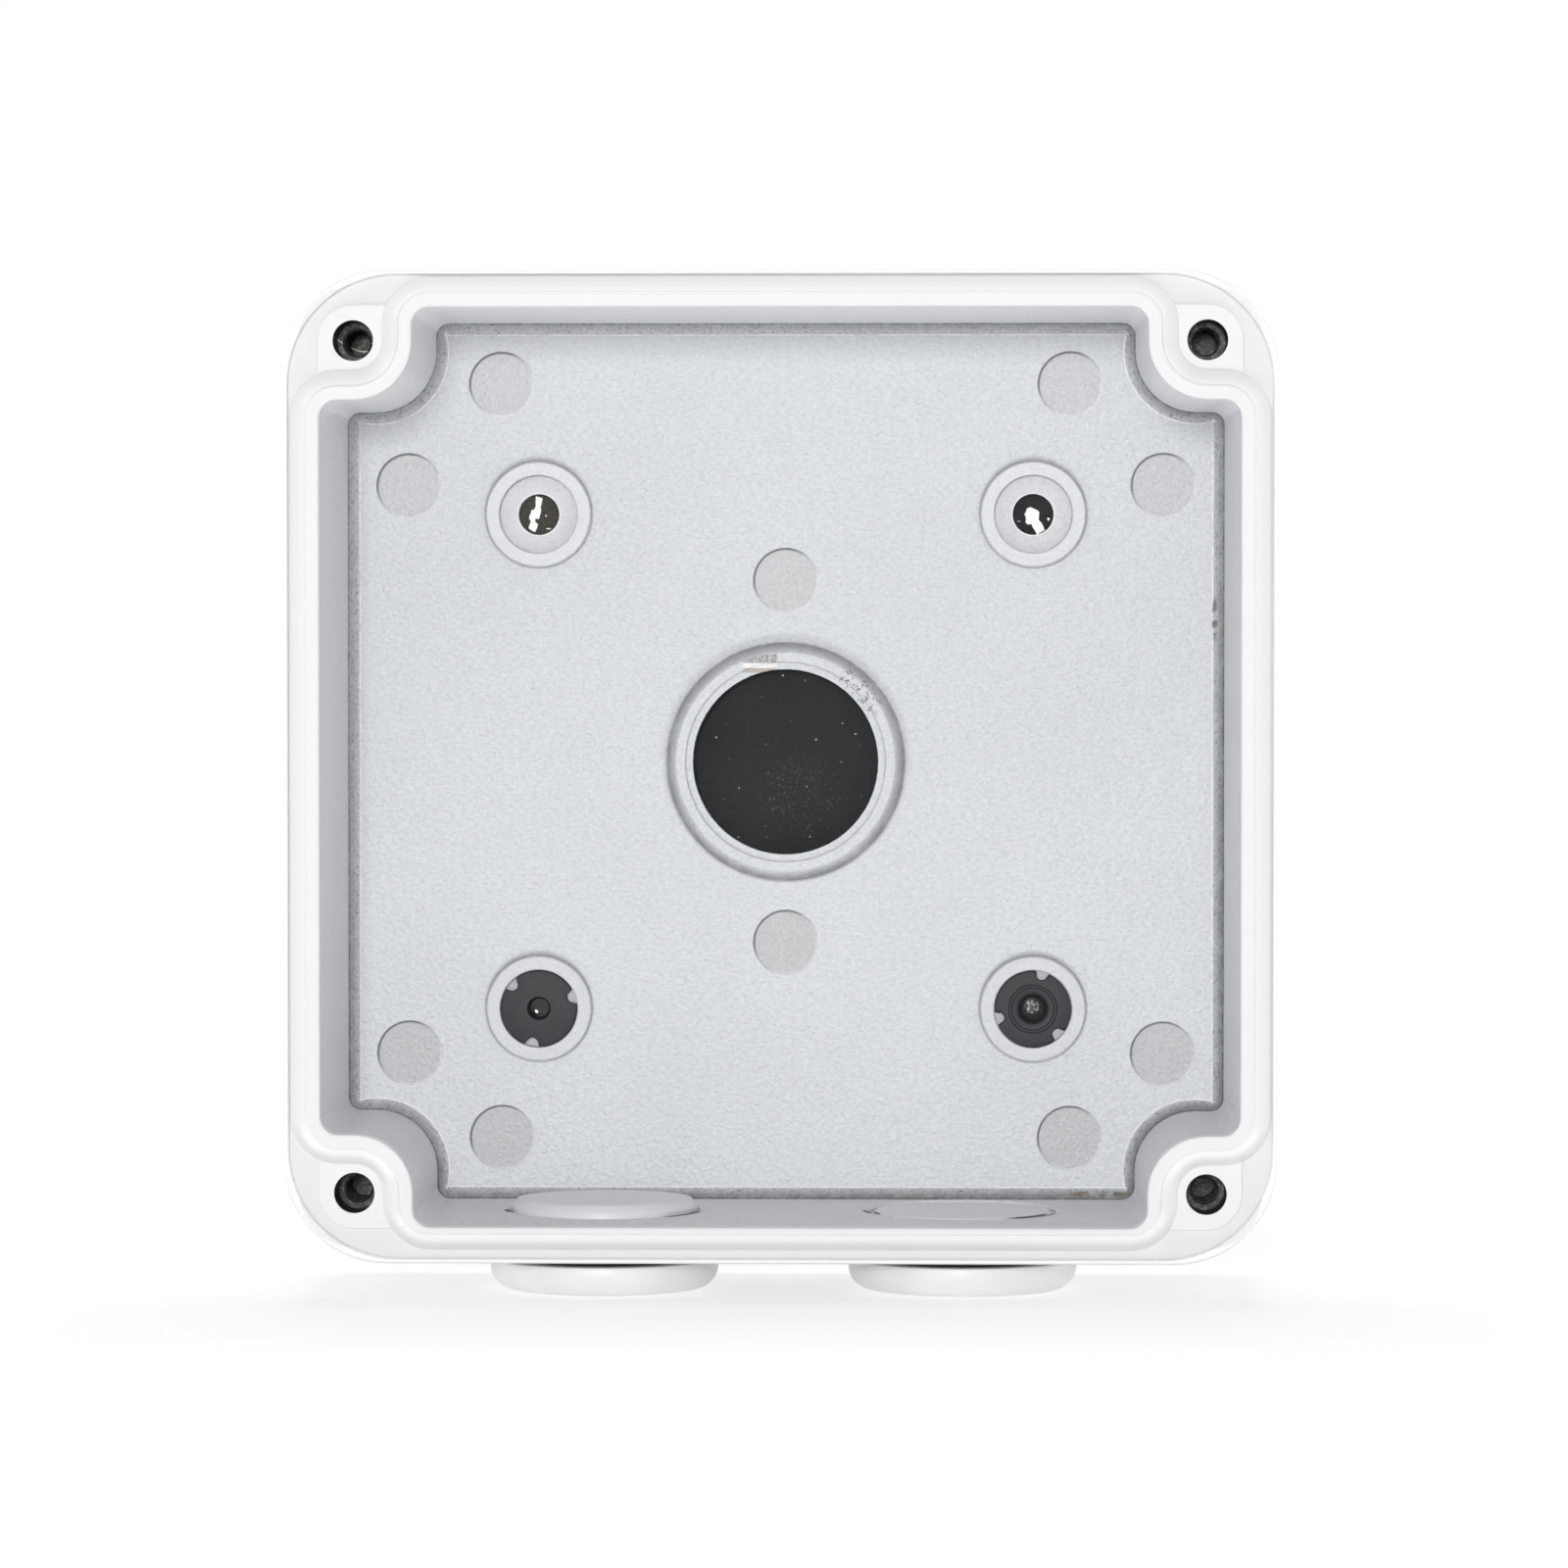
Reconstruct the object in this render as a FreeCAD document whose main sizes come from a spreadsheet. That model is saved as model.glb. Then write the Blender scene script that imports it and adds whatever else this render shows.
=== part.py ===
import FreeCAD, Part
import math
import os
import Sketcher

# Camera junction box: an open square die-cast base, standing on the two
# plugs in its lower wall.  Millimetres.  X is right, Z is up, and the open
# front faces -Y.  The origin is the middle of the face that meets the wall.

SIZES = {
    # Outside of the casting
    "box_side": 137.0,
    "box_depth": 45.0,
    "corner_round": 14.2,
    "side_draft": 1.0,
    "rear_edge": 1.2,
    "lip_width": 0.7,
    "lip_rise": 0.8,
    "lip_inner_round": 15.0,
    "lip_edge": 0.2,
    # Cavity
    "rim_wall": 5.15,
    "floor_thickness": 3.0,
    "cavity_corner": 2.4,
    "cavity_draft": 0.8,
    "cavity_foot": 1.3,
    # Rim that enters the groove of a cover, set in above the lower side's drip edge
    "ridge_width": 4.1,
    "ridge_rise": 2.2,
    "ridge_slope_width": 2.0,
    "ridge_slope_fall": 1.1,
    "tongue_width": 1.95,
    "tongue_rise": 2.5,
    "tongue_edge": 0.2,
    "drip_width": 1.0,
    # Four posts with the screw holes of the cover
    "cover_screw_inset": 9.75,
    "post_radius": 8.15,
    "screw_seat_reach": 4.9,
    "screw_seat_rise": 0.8,
    "screw_entry_radius": 2.8,
    "screw_entry_depth": 7.0,
    "screw_thread_radius": 2.0,
    "screw_thread_depth": 12.0,
    # Four bosses with the holes of the wall screws
    "wall_screw_pitch": 71.0,
    "boss_radius": 7.65,
    "boss_rise": 1.0,
    "boss_edge": 0.3,
    "head_seat_radius": 5.6,
    "head_seat_depth": 1.5,
    "wall_screw_radius": 2.95,
    # Collar round the threaded cable hole in the floor
    "rear_hole_radius": 13.3,
    "collar_wall": 2.4,
    "collar_spread": 1.4,
    "collar_rise": 2.0,
    "collar_step_width": 1.05,
    "collar_step_depth": 0.45,
    # Shallow round marks of the ejector pins
    "ejector_radius": 4.56,
    "ejector_depth": 0.3,
    "ejector_inset": 14.35,
    "ejector_step": 13.35,
    "ejector_middle": 26.0,
    "ejector_drop": 1.2,
    # Two threaded inlets in the lower wall
    "inlet_share": 0.1847,
    "inlet_floor_gap": 2.2,
    "inlet_radius": 13.3,
    "inlet_chamfer": 0.3,
    "inlet_seat_inset": 0.7,
    "inlet_seat_margin": 0.7,
    # Foam pad behind the box
    "pad_inset": 4.8,
    "pad_round": 11.0,
    "pad_thickness": 2.0,
    "pad_proud": 0.5,
    "pad_clearance": 0.3,
    "pinhole_radius": 0.35,
    "pinhole_across": -0.3,
    "pinhole_along": -0.4,
    # Rubber seals in the two lower screw seats
    "seal_clearance": 0.15,
    "seal_thickness": 1.3,
    "seal_stem_length": 1.9,
    "seal_notch_radius": 0.85,
    "seal_notch_inset": 0.3,
    "seal_cup_radius": 1.7,
    "seal_groove_radius": 3.25,
    "seal_groove_width": 0.5,
    "seal_groove_depth": 0.4,
    "seal_membrane": 0.6,
    # Threaded plugs
    "plug_head_overhang": 1.6,
    "plug_head_height": 4.2,
    "plug_head_round": 3.0,
    "plug_head_edge": 0.4,
    "plug_thread_clearance": 0.08,
    "left_thread_length": 8.35,
    "right_thread_length": 6.65,
    "plug_end_chamfer": 0.9,
    "coin_slot_length": 19.0,
    "coin_slot_width": 2.6,
    "coin_slot_depth": 2.0,
    # Rubber washers under the plug heads
    "washer_thickness": 1.95,
    "washer_width": 1.22,
    "washer_clearance": 0.06,
}

# Corners of the torn edges in the foam, from the middle of each screw hole
LEFT_TEAR = (
    (-0.67, 2.75),
    (0.36, 2.42),
    (0.22, 1.52),
    (0.09, 0.09),
    (-0.22, -0.63),
    (-0.63, -0.54),
    (-0.72, -0.99),
    (-0.27, -1.43),
    (-0.67, -2.51),
    (-1.75, -1.97),
    (-1.48, -0.81),
    (-1.7, -0.36),
    (-1.39, 0.63),
    (-0.94, 0.81),
    (-0.72, 1.34),
)
RIGHT_TEAR = (
    (-0.27, 1.12),
    (0.27, 0.85),
    (0.9, 0.49),
    (0.85, -0.49),
    (1.79, -2.2),
    (0.54, -2.91),
    (-0.18, -1.39),
    (-0.72, -1.43),
    (-1.08, -1.03),
    (-1.03, -0.4),
    (-1.21, 0.13),
    (-0.9, 0.85),
)

NODES = []

doc = FreeCAD.newDocument("camera_junction_box")
sheet = doc.addObject("Spreadsheet::Sheet", "Sizes")
for row, (alias, number) in enumerate(SIZES.items(), start=1):
    sheet.set("A%d" % row, alias.replace("_", " "))
    sheet.set("B%d" % row, str(number))
    sheet.setAlias("B%d" % row, alias)
doc.recompute()


def worth(formula):
    """The number that a formula over the sheet comes to."""
    result = sheet.evalExpression(formula)
    return float(getattr(result, "Value", result))


# Formulas that several features share
HALF = "(Sizes.box_side / 2)"
CAVITY_HALF = "(%s - Sizes.rim_wall)" % HALF
PAD_HALF = "(%s - Sizes.pad_inset)" % HALF
FLANGE_LEVEL = "(Sizes.box_depth - Sizes.tongue_rise)"
LIP_LEVEL = "(%s + Sizes.lip_rise)" % FLANGE_LEVEL
RIDGE_LEVEL = "(%s + Sizes.ridge_rise)" % FLANGE_LEVEL
FLOOR_LEVEL = "(Sizes.pad_thickness + Sizes.floor_thickness)"
REAR_LEVEL = "Sizes.pad_proud"
SCREW_PLACE = "(%s - Sizes.cover_screw_inset)" % HALF
BOSS_PLACE = "(Sizes.wall_screw_pitch / 2)"
BOSS_TOP = "(%s + Sizes.boss_rise)" % FLOOR_LEVEL
HEAD_SEAT = "(%s - Sizes.head_seat_depth)" % BOSS_TOP
INLET_PLACE = "(Sizes.box_side * Sizes.inlet_share)"
INLET_LEVEL = "(%s + Sizes.inlet_floor_gap + Sizes.inlet_radius)" % FLOOR_LEVEL
INLET_SEAT = "(%s - Sizes.inlet_seat_inset)" % HALF
SHANK_RADIUS = "(Sizes.inlet_radius - Sizes.plug_thread_clearance)"
WASHER_HOLE = "(%s + Sizes.washer_clearance)" % SHANK_RADIUS
WASHER_RADIUS = "(%s + Sizes.washer_width)" % WASHER_HOLE
HEAD_RADIUS = "(%s + Sizes.plug_head_overhang)" % WASHER_RADIUS
COLLAR_TOP = "(%s + Sizes.collar_rise)" % FLOOR_LEVEL
COLLAR_STEP = "(%s - Sizes.collar_step_depth)" % COLLAR_TOP
NEAR = 0.001


def new_body(label):
    """A sub-part of its own, which names its file."""
    body = doc.addObject("PartDesign::Body", label)
    body.Label = label
    NODES.append(body)
    return body


def origin_part(body, role):
    """One of the planes or axes at the origin of a body."""
    return [part for part in body.Origin.OriginFeatures if part.Role == role][0]


def new_sketch(body, name, role, level=None):
    """A sketch on an origin plane, or level further along its normal."""
    sketch = body.newObject("Sketcher::SketchObject", name)
    sketch.AttachmentSupport = [(origin_part(body, role), "")]
    sketch.MapMode = "FlatFace"
    if level:
        sketch.setExpression("AttachmentOffset.Base.z", level)
    return sketch


def bind(sketch, name, formula, kind, *targets):
    """A named dimension of a sketch that follows a formula."""
    index = sketch.addConstraint(Sketcher.Constraint(kind, *targets, worth(formula)))
    sketch.renameConstraint(index, name)
    sketch.setExpression("Constraints." + name, formula)


def place_point(sketch, name, geometry, corner, across, along):
    """Fix a point at two formulas; None keeps it on that axis."""
    if across is None:
        sketch.addConstraint(Sketcher.Constraint("PointOnObject", geometry, corner, -2))
    else:
        bind(sketch, name + "_x", across, "DistanceX", -1, 1, geometry, corner)
    if along is None:
        sketch.addConstraint(Sketcher.Constraint("PointOnObject", geometry, corner, -1))
    else:
        bind(sketch, name + "_y", along, "DistanceY", -1, 1, geometry, corner)


def spot(formula):
    """The number of a formula, or 0 for None."""
    return 0.0 if formula is None else worth(formula)


def add_circle(sketch, name, across, along, radius):
    """A circle about a point given by two formulas."""
    centre = FreeCAD.Vector(spot(across), spot(along), 0)
    circle = Part.Circle(centre, FreeCAD.Vector(0, 0, 1), worth(radius))
    index = sketch.addGeometry(circle, False)
    place_point(sketch, name, index, 3, across, along)
    bind(sketch, name + "_radius", radius, "Radius", index)
    return index


def add_polygon(sketch, name, points):
    """A closed outline of straight lines whose corners follow formulas."""
    places = [FreeCAD.Vector(spot(across), spot(along), 0) for across, along in points]
    lines = []
    for index, start in enumerate(places):
        end = places[(index + 1) % len(places)]
        lines.append(sketch.addGeometry(Part.LineSegment(start, end), False))
    for index, line in enumerate(lines):
        following = lines[(index + 1) % len(lines)]
        sketch.addConstraint(Sketcher.Constraint("Coincident", line, 2, following, 1))
    for index, (across, along) in enumerate(points):
        place_point(sketch, "%s%d" % (name, index), lines[index], 1, across, along)


def turned(quarter, across, along):
    """A point carried round the origin by quarter turns."""
    angle = math.radians(90 * quarter)
    return FreeCAD.Vector(
        across * math.cos(angle) - along * math.sin(angle),
        across * math.sin(angle) + along * math.cos(angle),
        0,
    )


def quarter_arc(quarter, across, along, radius, start):
    """A 90 degree arc about a point that is carried round by quarter turns."""
    circle = Part.Circle(turned(quarter, across, along), FreeCAD.Vector(0, 0, 1), radius)
    first = math.radians(start + 90 * quarter)
    return Part.ArcOfCircle(circle, first, first + math.pi / 2)


def join_tangent(sketch, pieces):
    """Join a closed run of lines and arcs end to end, each tangent to the next."""
    for index, (piece, last) in enumerate(pieces):
        following, _ = pieces[(index + 1) % len(pieces)]
        first = pieces[(index + 1) % len(pieces)][1] ^ 3
        sketch.addConstraint(Sketcher.Constraint("Tangent", piece, last, following, first))


def square_side(sketch, quarter, line, name, half):
    """Keep one side of a square upright or level, at its distance from the origin."""
    upright = quarter % 2 == 0
    sketch.addConstraint(Sketcher.Constraint("Vertical" if upright else "Horizontal", line))
    sign = "" if quarter in (0, 1) else "-"
    kind = "DistanceX" if upright else "DistanceY"
    bind(sketch, "%s%d" % (name, quarter), "%s(%s)" % (sign, half), kind, -1, 1, line, 1)


def add_rounded_square(sketch, half, corner):
    """A square about the origin, with round corners."""
    reach, radius = worth(half), worth(corner)
    run = []
    for quarter in range(4):
        start = turned(quarter, reach, radius - reach)
        end = turned(quarter, reach, reach - radius)
        line = sketch.addGeometry(Part.LineSegment(start, end), False)
        bend = quarter_arc(quarter, reach - radius, reach - radius, radius, 0)
        run += [(line, 2), (sketch.addGeometry(bend, False), 2)]
    join_tangent(sketch, run)
    for quarter in range(4):
        square_side(sketch, quarter, run[2 * quarter][0], "side", half)
    bind(sketch, "corner", corner, "Radius", run[1][0])
    for quarter in range(1, 4):
        sketch.addConstraint(Sketcher.Constraint("Equal", run[1][0], run[2 * quarter + 1][0]))


def add_notched_square(sketch, half, low_half, corner, post):
    """A square whose corners step in round the four cover posts.

    Each corner turns into the notch by a convex bend, runs round the screw
    hole on an arc of the post's radius, and turns out again.  The lower side
    has a distance of its own from the origin.
    """
    bend, inner, seat = worth(corner), worth(post), worth(SCREW_PLACE)
    step = seat - inner
    halves = (half, half, half, low_half)
    run = []
    for quarter in range(4):
        reach = worth(halves[quarter])
        following = worth(halves[(quarter + 1) % 4])
        shapes = (
            Part.LineSegment(turned(quarter, reach, bend - step), turned(quarter, reach, step - bend)),
            quarter_arc(quarter, reach - bend, step - bend, bend, 0),
            Part.LineSegment(turned(quarter, reach - bend, step), turned(quarter, seat, step)),
            quarter_arc(quarter, seat, seat, inner, 180),
            Part.LineSegment(turned(quarter, step, seat), turned(quarter, step, following - bend)),
            quarter_arc(quarter, step - bend, following - bend, bend, 0),
        )
        for place, shape in enumerate(shapes):
            run.append((sketch.addGeometry(shape, False), 1 if place == 3 else 2))
    join_tangent(sketch, run)
    signs = (("", ""), ("-", ""), ("-", "-"), ("", "-"))
    for quarter, (across, along) in enumerate(signs):
        pieces = [piece for piece, _ in run[6 * quarter : 6 * quarter + 6]]
        side, first, level, post_arc, upright, second = pieces
        square_side(sketch, quarter, side, "side", halves[quarter])
        turns = ("Horizontal", "Vertical") if quarter % 2 == 0 else ("Vertical", "Horizontal")
        sketch.addConstraint(Sketcher.Constraint(turns[0], level))
        sketch.addConstraint(Sketcher.Constraint(turns[1], upright))
        place_point(sketch, "post%d" % quarter, post_arc, 3, across + SCREW_PLACE, along + SCREW_PLACE)
        bind(sketch, "post%d_radius" % quarter, post, "Radius", post_arc)
        bind(sketch, "first%d_radius" % quarter, corner, "Radius", first)
        bind(sketch, "second%d_radius" % quarter, corner, "Radius", second)


def extrude(body, kind, name, sketch, length, away=False, draft=None):
    """Pad or pocket a sketch by a formula's length, with a draft that narrows it."""
    doc.recompute()
    feature = body.newObject("PartDesign::" + kind, name)
    feature.Profile = sketch
    feature.Reversed = away
    feature.setExpression("Length", length)
    if draft:
        feature.setExpression("TaperAngle", "-" + draft)
    doc.recompute()
    body.Tip = feature
    return feature


def cut(body, name, sketch, length, away=False, draft=None):
    """A pocket that has to remove something."""
    before = body.Tip.Shape.Volume
    feature = extrude(body, "Pocket", name, sketch, length, away, draft)
    if feature.Shape.Volume > before - NEAR:
        raise RuntimeError(name + " cuts nothing")
    return feature


def revolve(body, name, sketch, role, kind="Revolution"):
    """A full turn of a sketch about an origin axis."""
    doc.recompute()
    feature = body.newObject("PartDesign::" + kind, name)
    feature.Profile = sketch
    feature.ReferenceAxis = (origin_part(body, role), [""])
    feature.Angle = 360
    doc.recompute()
    body.Tip = feature
    return feature


def edge_names(shape, wanted):
    """The names of the edges that pass a test."""
    return ["Edge%d" % (index + 1) for index, edge in enumerate(shape.Edges) if wanted(edge)]


def at_level(level, reach):
    """A test for edges that lie level in one plane across Y, out to a half width."""

    def wanted(edge):
        extent = edge.BoundBox
        furthest = max(abs(extent.XMin), abs(extent.XMax), abs(extent.ZMin), abs(extent.ZMax))
        flat = abs(extent.YMin + level) < NEAR and abs(extent.YMax + level) < NEAR
        return flat and furthest < reach + NEAR

    return wanted


def soften(body, kind, name, wanted, **sizes):
    """A fillet or chamfer on the edges that pass a test."""
    base = body.Tip
    names = edge_names(base.Shape, wanted)
    if not names:
        raise RuntimeError(name + " finds no edge")
    feature = body.newObject("PartDesign::" + kind, name)
    feature.Base = (base, names)
    for key, formula in sizes.items():
        feature.setExpression(key, formula)
    doc.recompute()
    body.Tip = feature
    return feature


def repeat_round(body, name, originals, count, role="Y_Axis"):
    """Copies of features, evenly spaced round an origin axis."""
    feature = body.newObject("PartDesign::PolarPattern", name)
    feature.Originals = originals
    feature.Axis = (origin_part(body, role), [""])
    feature.Angle = 360
    feature.Occurrences = count
    body.Tip = feature
    doc.recompute()
    return feature


# The casting
box = new_body("box_body")


def build_block():
    """The outside block, narrower towards the wall, with a groove inside its lip."""
    outline = new_sketch(box, "outside", "XZ_Plane", LIP_LEVEL)
    add_rounded_square(outline, HALF, "Sizes.corner_round")
    extrude(box, "Pad", "block", outline, "%s - %s" % (LIP_LEVEL, REAR_LEVEL), True, "Sizes.side_draft")
    half = worth(HALF)
    soften(box, "Chamfer", "rear_edges", at_level(worth(REAR_LEVEL), half), Size="Sizes.rear_edge")
    groove = new_sketch(box, "lip_inside", "XZ_Plane", LIP_LEVEL)
    add_rounded_square(groove, "(%s - Sizes.lip_width)" % HALF, "Sizes.lip_inner_round")
    cut(box, "flange", groove, "Sizes.lip_rise")
    soften(box, "Chamfer", "lip_edges", at_level(worth(LIP_LEVEL), half), Size="Sizes.lip_edge")


def add_rim_line(sketch, width):
    """The outline of the cavity, further out by a width, and less so along the lower side."""
    outer = "(%s + Sizes.%s)" % (CAVITY_HALF, width)
    low = "(%s - Sizes.drip_width)" % outer
    corner = "(Sizes.cavity_corner + Sizes.%s)" % width
    post = "(Sizes.post_radius - Sizes.%s)" % width
    add_notched_square(sketch, outer, low, corner, post)


def build_rim():
    """The sloped ridge and the tongue on it."""
    ridge = new_sketch(box, "ridge_line", "XZ_Plane", FLANGE_LEVEL)
    add_rim_line(ridge, "ridge_width")
    extrude(box, "Pad", "ridge", ridge, "Sizes.ridge_rise")
    base = box.Tip
    slope = box.newObject("PartDesign::Chamfer", "ridge_slope")
    slope.Base = (base, edge_names(base.Shape, at_level(worth(RIDGE_LEVEL), worth(HALF))))
    slope.ChamferType = "Two distances"
    slope.setExpression("Size", "Sizes.ridge_slope_fall")
    slope.setExpression("Size2", "Sizes.ridge_slope_width")
    doc.recompute()
    box.Tip = slope
    tongue = new_sketch(box, "tongue_line", "XZ_Plane", FLANGE_LEVEL)
    add_rim_line(tongue, "tongue_width")
    extrude(box, "Pad", "tongue", tongue, "Sizes.tongue_rise")


def build_cavity():
    """The drafted cavity round the posts, with its sloped foot."""
    mouth = new_sketch(box, "mouth", "XZ_Plane", "Sizes.box_depth")
    add_notched_square(mouth, CAVITY_HALF, CAVITY_HALF, "Sizes.cavity_corner", "Sizes.post_radius")
    cut(box, "cavity", mouth, "Sizes.box_depth - %s" % FLOOR_LEVEL, False, "Sizes.cavity_draft")
    foot = at_level(worth(FLOOR_LEVEL), worth(CAVITY_HALF))
    soften(box, "Chamfer", "cavity_feet", foot, Size="Sizes.cavity_foot")
    rim = at_level(worth("Sizes.box_depth"), worth(HALF))
    soften(box, "Chamfer", "tongue_edges", rim, Size="Sizes.tongue_edge")


def build_cover_seats():
    """A raised seat round each cover screw, with its wide entry and its thread."""
    seat = new_sketch(box, "screw_seat", "XZ_Plane", FLANGE_LEVEL)
    near = "(%s - Sizes.post_radius + Sizes.tongue_width)" % SCREW_PLACE
    inner, middle, reach = worth(near), worth(SCREW_PLACE), worth("Sizes.screw_seat_reach")
    outer = middle + reach
    corners = [FreeCAD.Vector(*place, 0) for place in ((inner, inner), (outer, inner), (outer, middle))]
    corners += [FreeCAD.Vector(*place, 0) for place in ((middle, outer), (inner, outer))]
    lines = [
        seat.addGeometry(Part.LineSegment(corners[first], corners[second]), False)
        for first, second in ((0, 1), (1, 2), (3, 4), (4, 0))
    ]
    round_corner = seat.addGeometry(quarter_arc(0, middle, middle, reach, 0), False)
    for line, end, other, start in ((0, 2, 1, 1), (2, 2, 3, 1), (3, 2, 0, 1)):
        seat.addConstraint(Sketcher.Constraint("Coincident", lines[line], end, lines[other], start))
    seat.addConstraint(Sketcher.Constraint("Tangent", lines[1], 2, round_corner, 1))
    seat.addConstraint(Sketcher.Constraint("Tangent", round_corner, 2, lines[2], 1))
    for line, way in ((0, "Horizontal"), (1, "Vertical"), (2, "Horizontal"), (3, "Vertical")):
        seat.addConstraint(Sketcher.Constraint(way, lines[line]))
    place_point(seat, "screw", round_corner, 3, SCREW_PLACE, SCREW_PLACE)
    bind(seat, "reach", "Sizes.screw_seat_reach", "Radius", round_corner)
    place_point(seat, "near", lines[0], 1, near, near)
    raised = extrude(box, "Pad", "screw_seat_pad", seat, "Sizes.screw_seat_rise")
    repeat_round(box, "screw_seats", [raised], 4)
    top = "(%s + Sizes.screw_seat_rise)" % FLANGE_LEVEL
    entry = new_sketch(box, "screw_entry", "XZ_Plane", top)
    add_circle(entry, "entry", SCREW_PLACE, SCREW_PLACE, "Sizes.screw_entry_radius")
    wide = cut(box, "screw_entry_hole", entry, "Sizes.screw_entry_depth")
    thread = new_sketch(box, "screw_thread", "XZ_Plane", top)
    add_circle(thread, "thread", SCREW_PLACE, SCREW_PLACE, "Sizes.screw_thread_radius")
    depth = "Sizes.screw_entry_depth + Sizes.screw_thread_depth"
    narrow = cut(box, "screw_thread_hole", thread, depth)
    repeat_round(box, "screw_holes", [wide, narrow], 4)


def build_bosses():
    """Four low bosses with a seat and a through hole for the wall screws."""
    ring = new_sketch(box, "boss_outline", "XZ_Plane", FLOOR_LEVEL)
    add_circle(ring, "boss", BOSS_PLACE, BOSS_PLACE, "Sizes.boss_radius")
    boss = extrude(box, "Pad", "boss", ring, "Sizes.boss_rise")
    seat = new_sketch(box, "head_seat", "XZ_Plane", BOSS_TOP)
    add_circle(seat, "seat", BOSS_PLACE, BOSS_PLACE, "Sizes.head_seat_radius")
    well = cut(box, "head_seat_well", seat, "Sizes.head_seat_depth")
    hole = new_sketch(box, "wall_screw", "XZ_Plane", BOSS_TOP)
    add_circle(hole, "hole", BOSS_PLACE, BOSS_PLACE, "Sizes.wall_screw_radius")
    through = cut(box, "wall_screw_hole", hole, BOSS_TOP)
    repeat_round(box, "bosses", [boss, well, through], 4)
    rim = worth("Sizes.boss_radius")

    def outer_rim(edge):
        curve = edge.Curve
        round_edge = isinstance(curve, Part.Circle) and abs(curve.Radius - rim) < NEAR
        return round_edge and at_level(worth(BOSS_TOP), worth(HALF))(edge)

    soften(box, "Chamfer", "boss_rims", outer_rim, Size="Sizes.boss_edge")


def build_rear_hole():
    """The collar on the floor and the threaded cable hole through it."""
    profile = new_sketch(box, "collar_profile", "XY_Plane")
    root = "-(%s - Sizes.collar_step_depth)" % FLOOR_LEVEL
    bore_radius = "Sizes.rear_hole_radius"
    step = bore_radius + " + Sizes.collar_step_width"
    top = bore_radius + " + Sizes.collar_wall"
    foot = top + " + Sizes.collar_spread"
    add_polygon(
        profile,
        "collar",
        (
            (bore_radius, root),
            (bore_radius, "-" + COLLAR_STEP),
            (step, "-" + COLLAR_STEP),
            (step, "-" + COLLAR_TOP),
            (top, "-" + COLLAR_TOP),
            (foot, "-" + FLOOR_LEVEL),
            (foot, root),
        ),
    )
    revolve(box, "collar", profile, "Y_Axis")
    bore = new_sketch(box, "rear_hole", "XZ_Plane", COLLAR_TOP)
    add_circle(bore, "bore", None, None, "Sizes.rear_hole_radius")
    cut(box, "rear_cable_hole", bore, COLLAR_TOP)


def build_ejector_marks():
    """Ten shallow round marks on the floor."""
    marks = new_sketch(box, "ejector_marks", "XZ_Plane", FLOOR_LEVEL)
    far = "(%s - Sizes.ejector_inset)" % HALF
    near = "(%s - Sizes.ejector_step)" % far
    sides = (("", ""), ("-", ""), ("-", "-"), ("", "-"))
    for index, (across, along, drop) in enumerate(((near, far, ""), (far, near, " - Sizes.ejector_drop"))):
        for turn, (side, height) in enumerate(sides):
            name = "mark%d%d" % (index, turn)
            add_circle(marks, name, side + across, height + along + drop, "Sizes.ejector_radius")
    for index, height in enumerate(("", "-")):
        add_circle(marks, "middle%d" % index, None, height + "Sizes.ejector_middle", "Sizes.ejector_radius")
    cut(box, "ejector_recesses", marks, "Sizes.ejector_depth")


def build_inlets():
    """Two threaded inlets through the lower wall, each with a flat outer seat."""
    seats = new_sketch(box, "inlet_seats", "XY_Plane", "-" + INLET_SEAT)
    holes = new_sketch(box, "inlet_holes", "XY_Plane", "-" + HALF)
    for name, side in (("left", "-"), ("right", "")):
        seat_radius = WASHER_RADIUS + " + Sizes.inlet_seat_margin"
        add_circle(seats, name, side + INLET_PLACE, "-" + INLET_LEVEL, seat_radius)
        add_circle(holes, name, side + INLET_PLACE, "-" + INLET_LEVEL, "Sizes.inlet_radius")
    cut(box, "inlet_spot_faces", seats, "2 * Sizes.inlet_seat_inset")
    cut(box, "inlet_bores", holes, "2 * Sizes.rim_wall", True)
    width = worth("2 * Sizes.inlet_radius")
    middle = worth("%s - Sizes.rim_wall / 2" % HALF)

    def inner_rim(edge):
        extent = edge.BoundBox
        wide = abs(extent.XLength - width) < width * NEAR and abs(extent.YLength - width) < width * NEAR
        return wide and -middle < extent.ZMin < 0

    soften(box, "Chamfer", "inlet_inner_rims", inner_rim, Size="Sizes.inlet_chamfer")


def build_recess():
    """The rear recess that holds the foam pad."""
    outline = new_sketch(box, "recess", "XZ_Plane")
    half = "(%s + Sizes.pad_clearance)" % PAD_HALF
    add_rounded_square(outline, half, "(Sizes.pad_round + Sizes.pad_clearance)")
    cut(box, "pad_recess", outline, "Sizes.pad_thickness", True)


build_block()
build_rim()
build_cover_seats()
build_cavity()
build_bosses()
build_rear_hole()
build_ejector_marks()
build_inlets()
build_recess()


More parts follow.
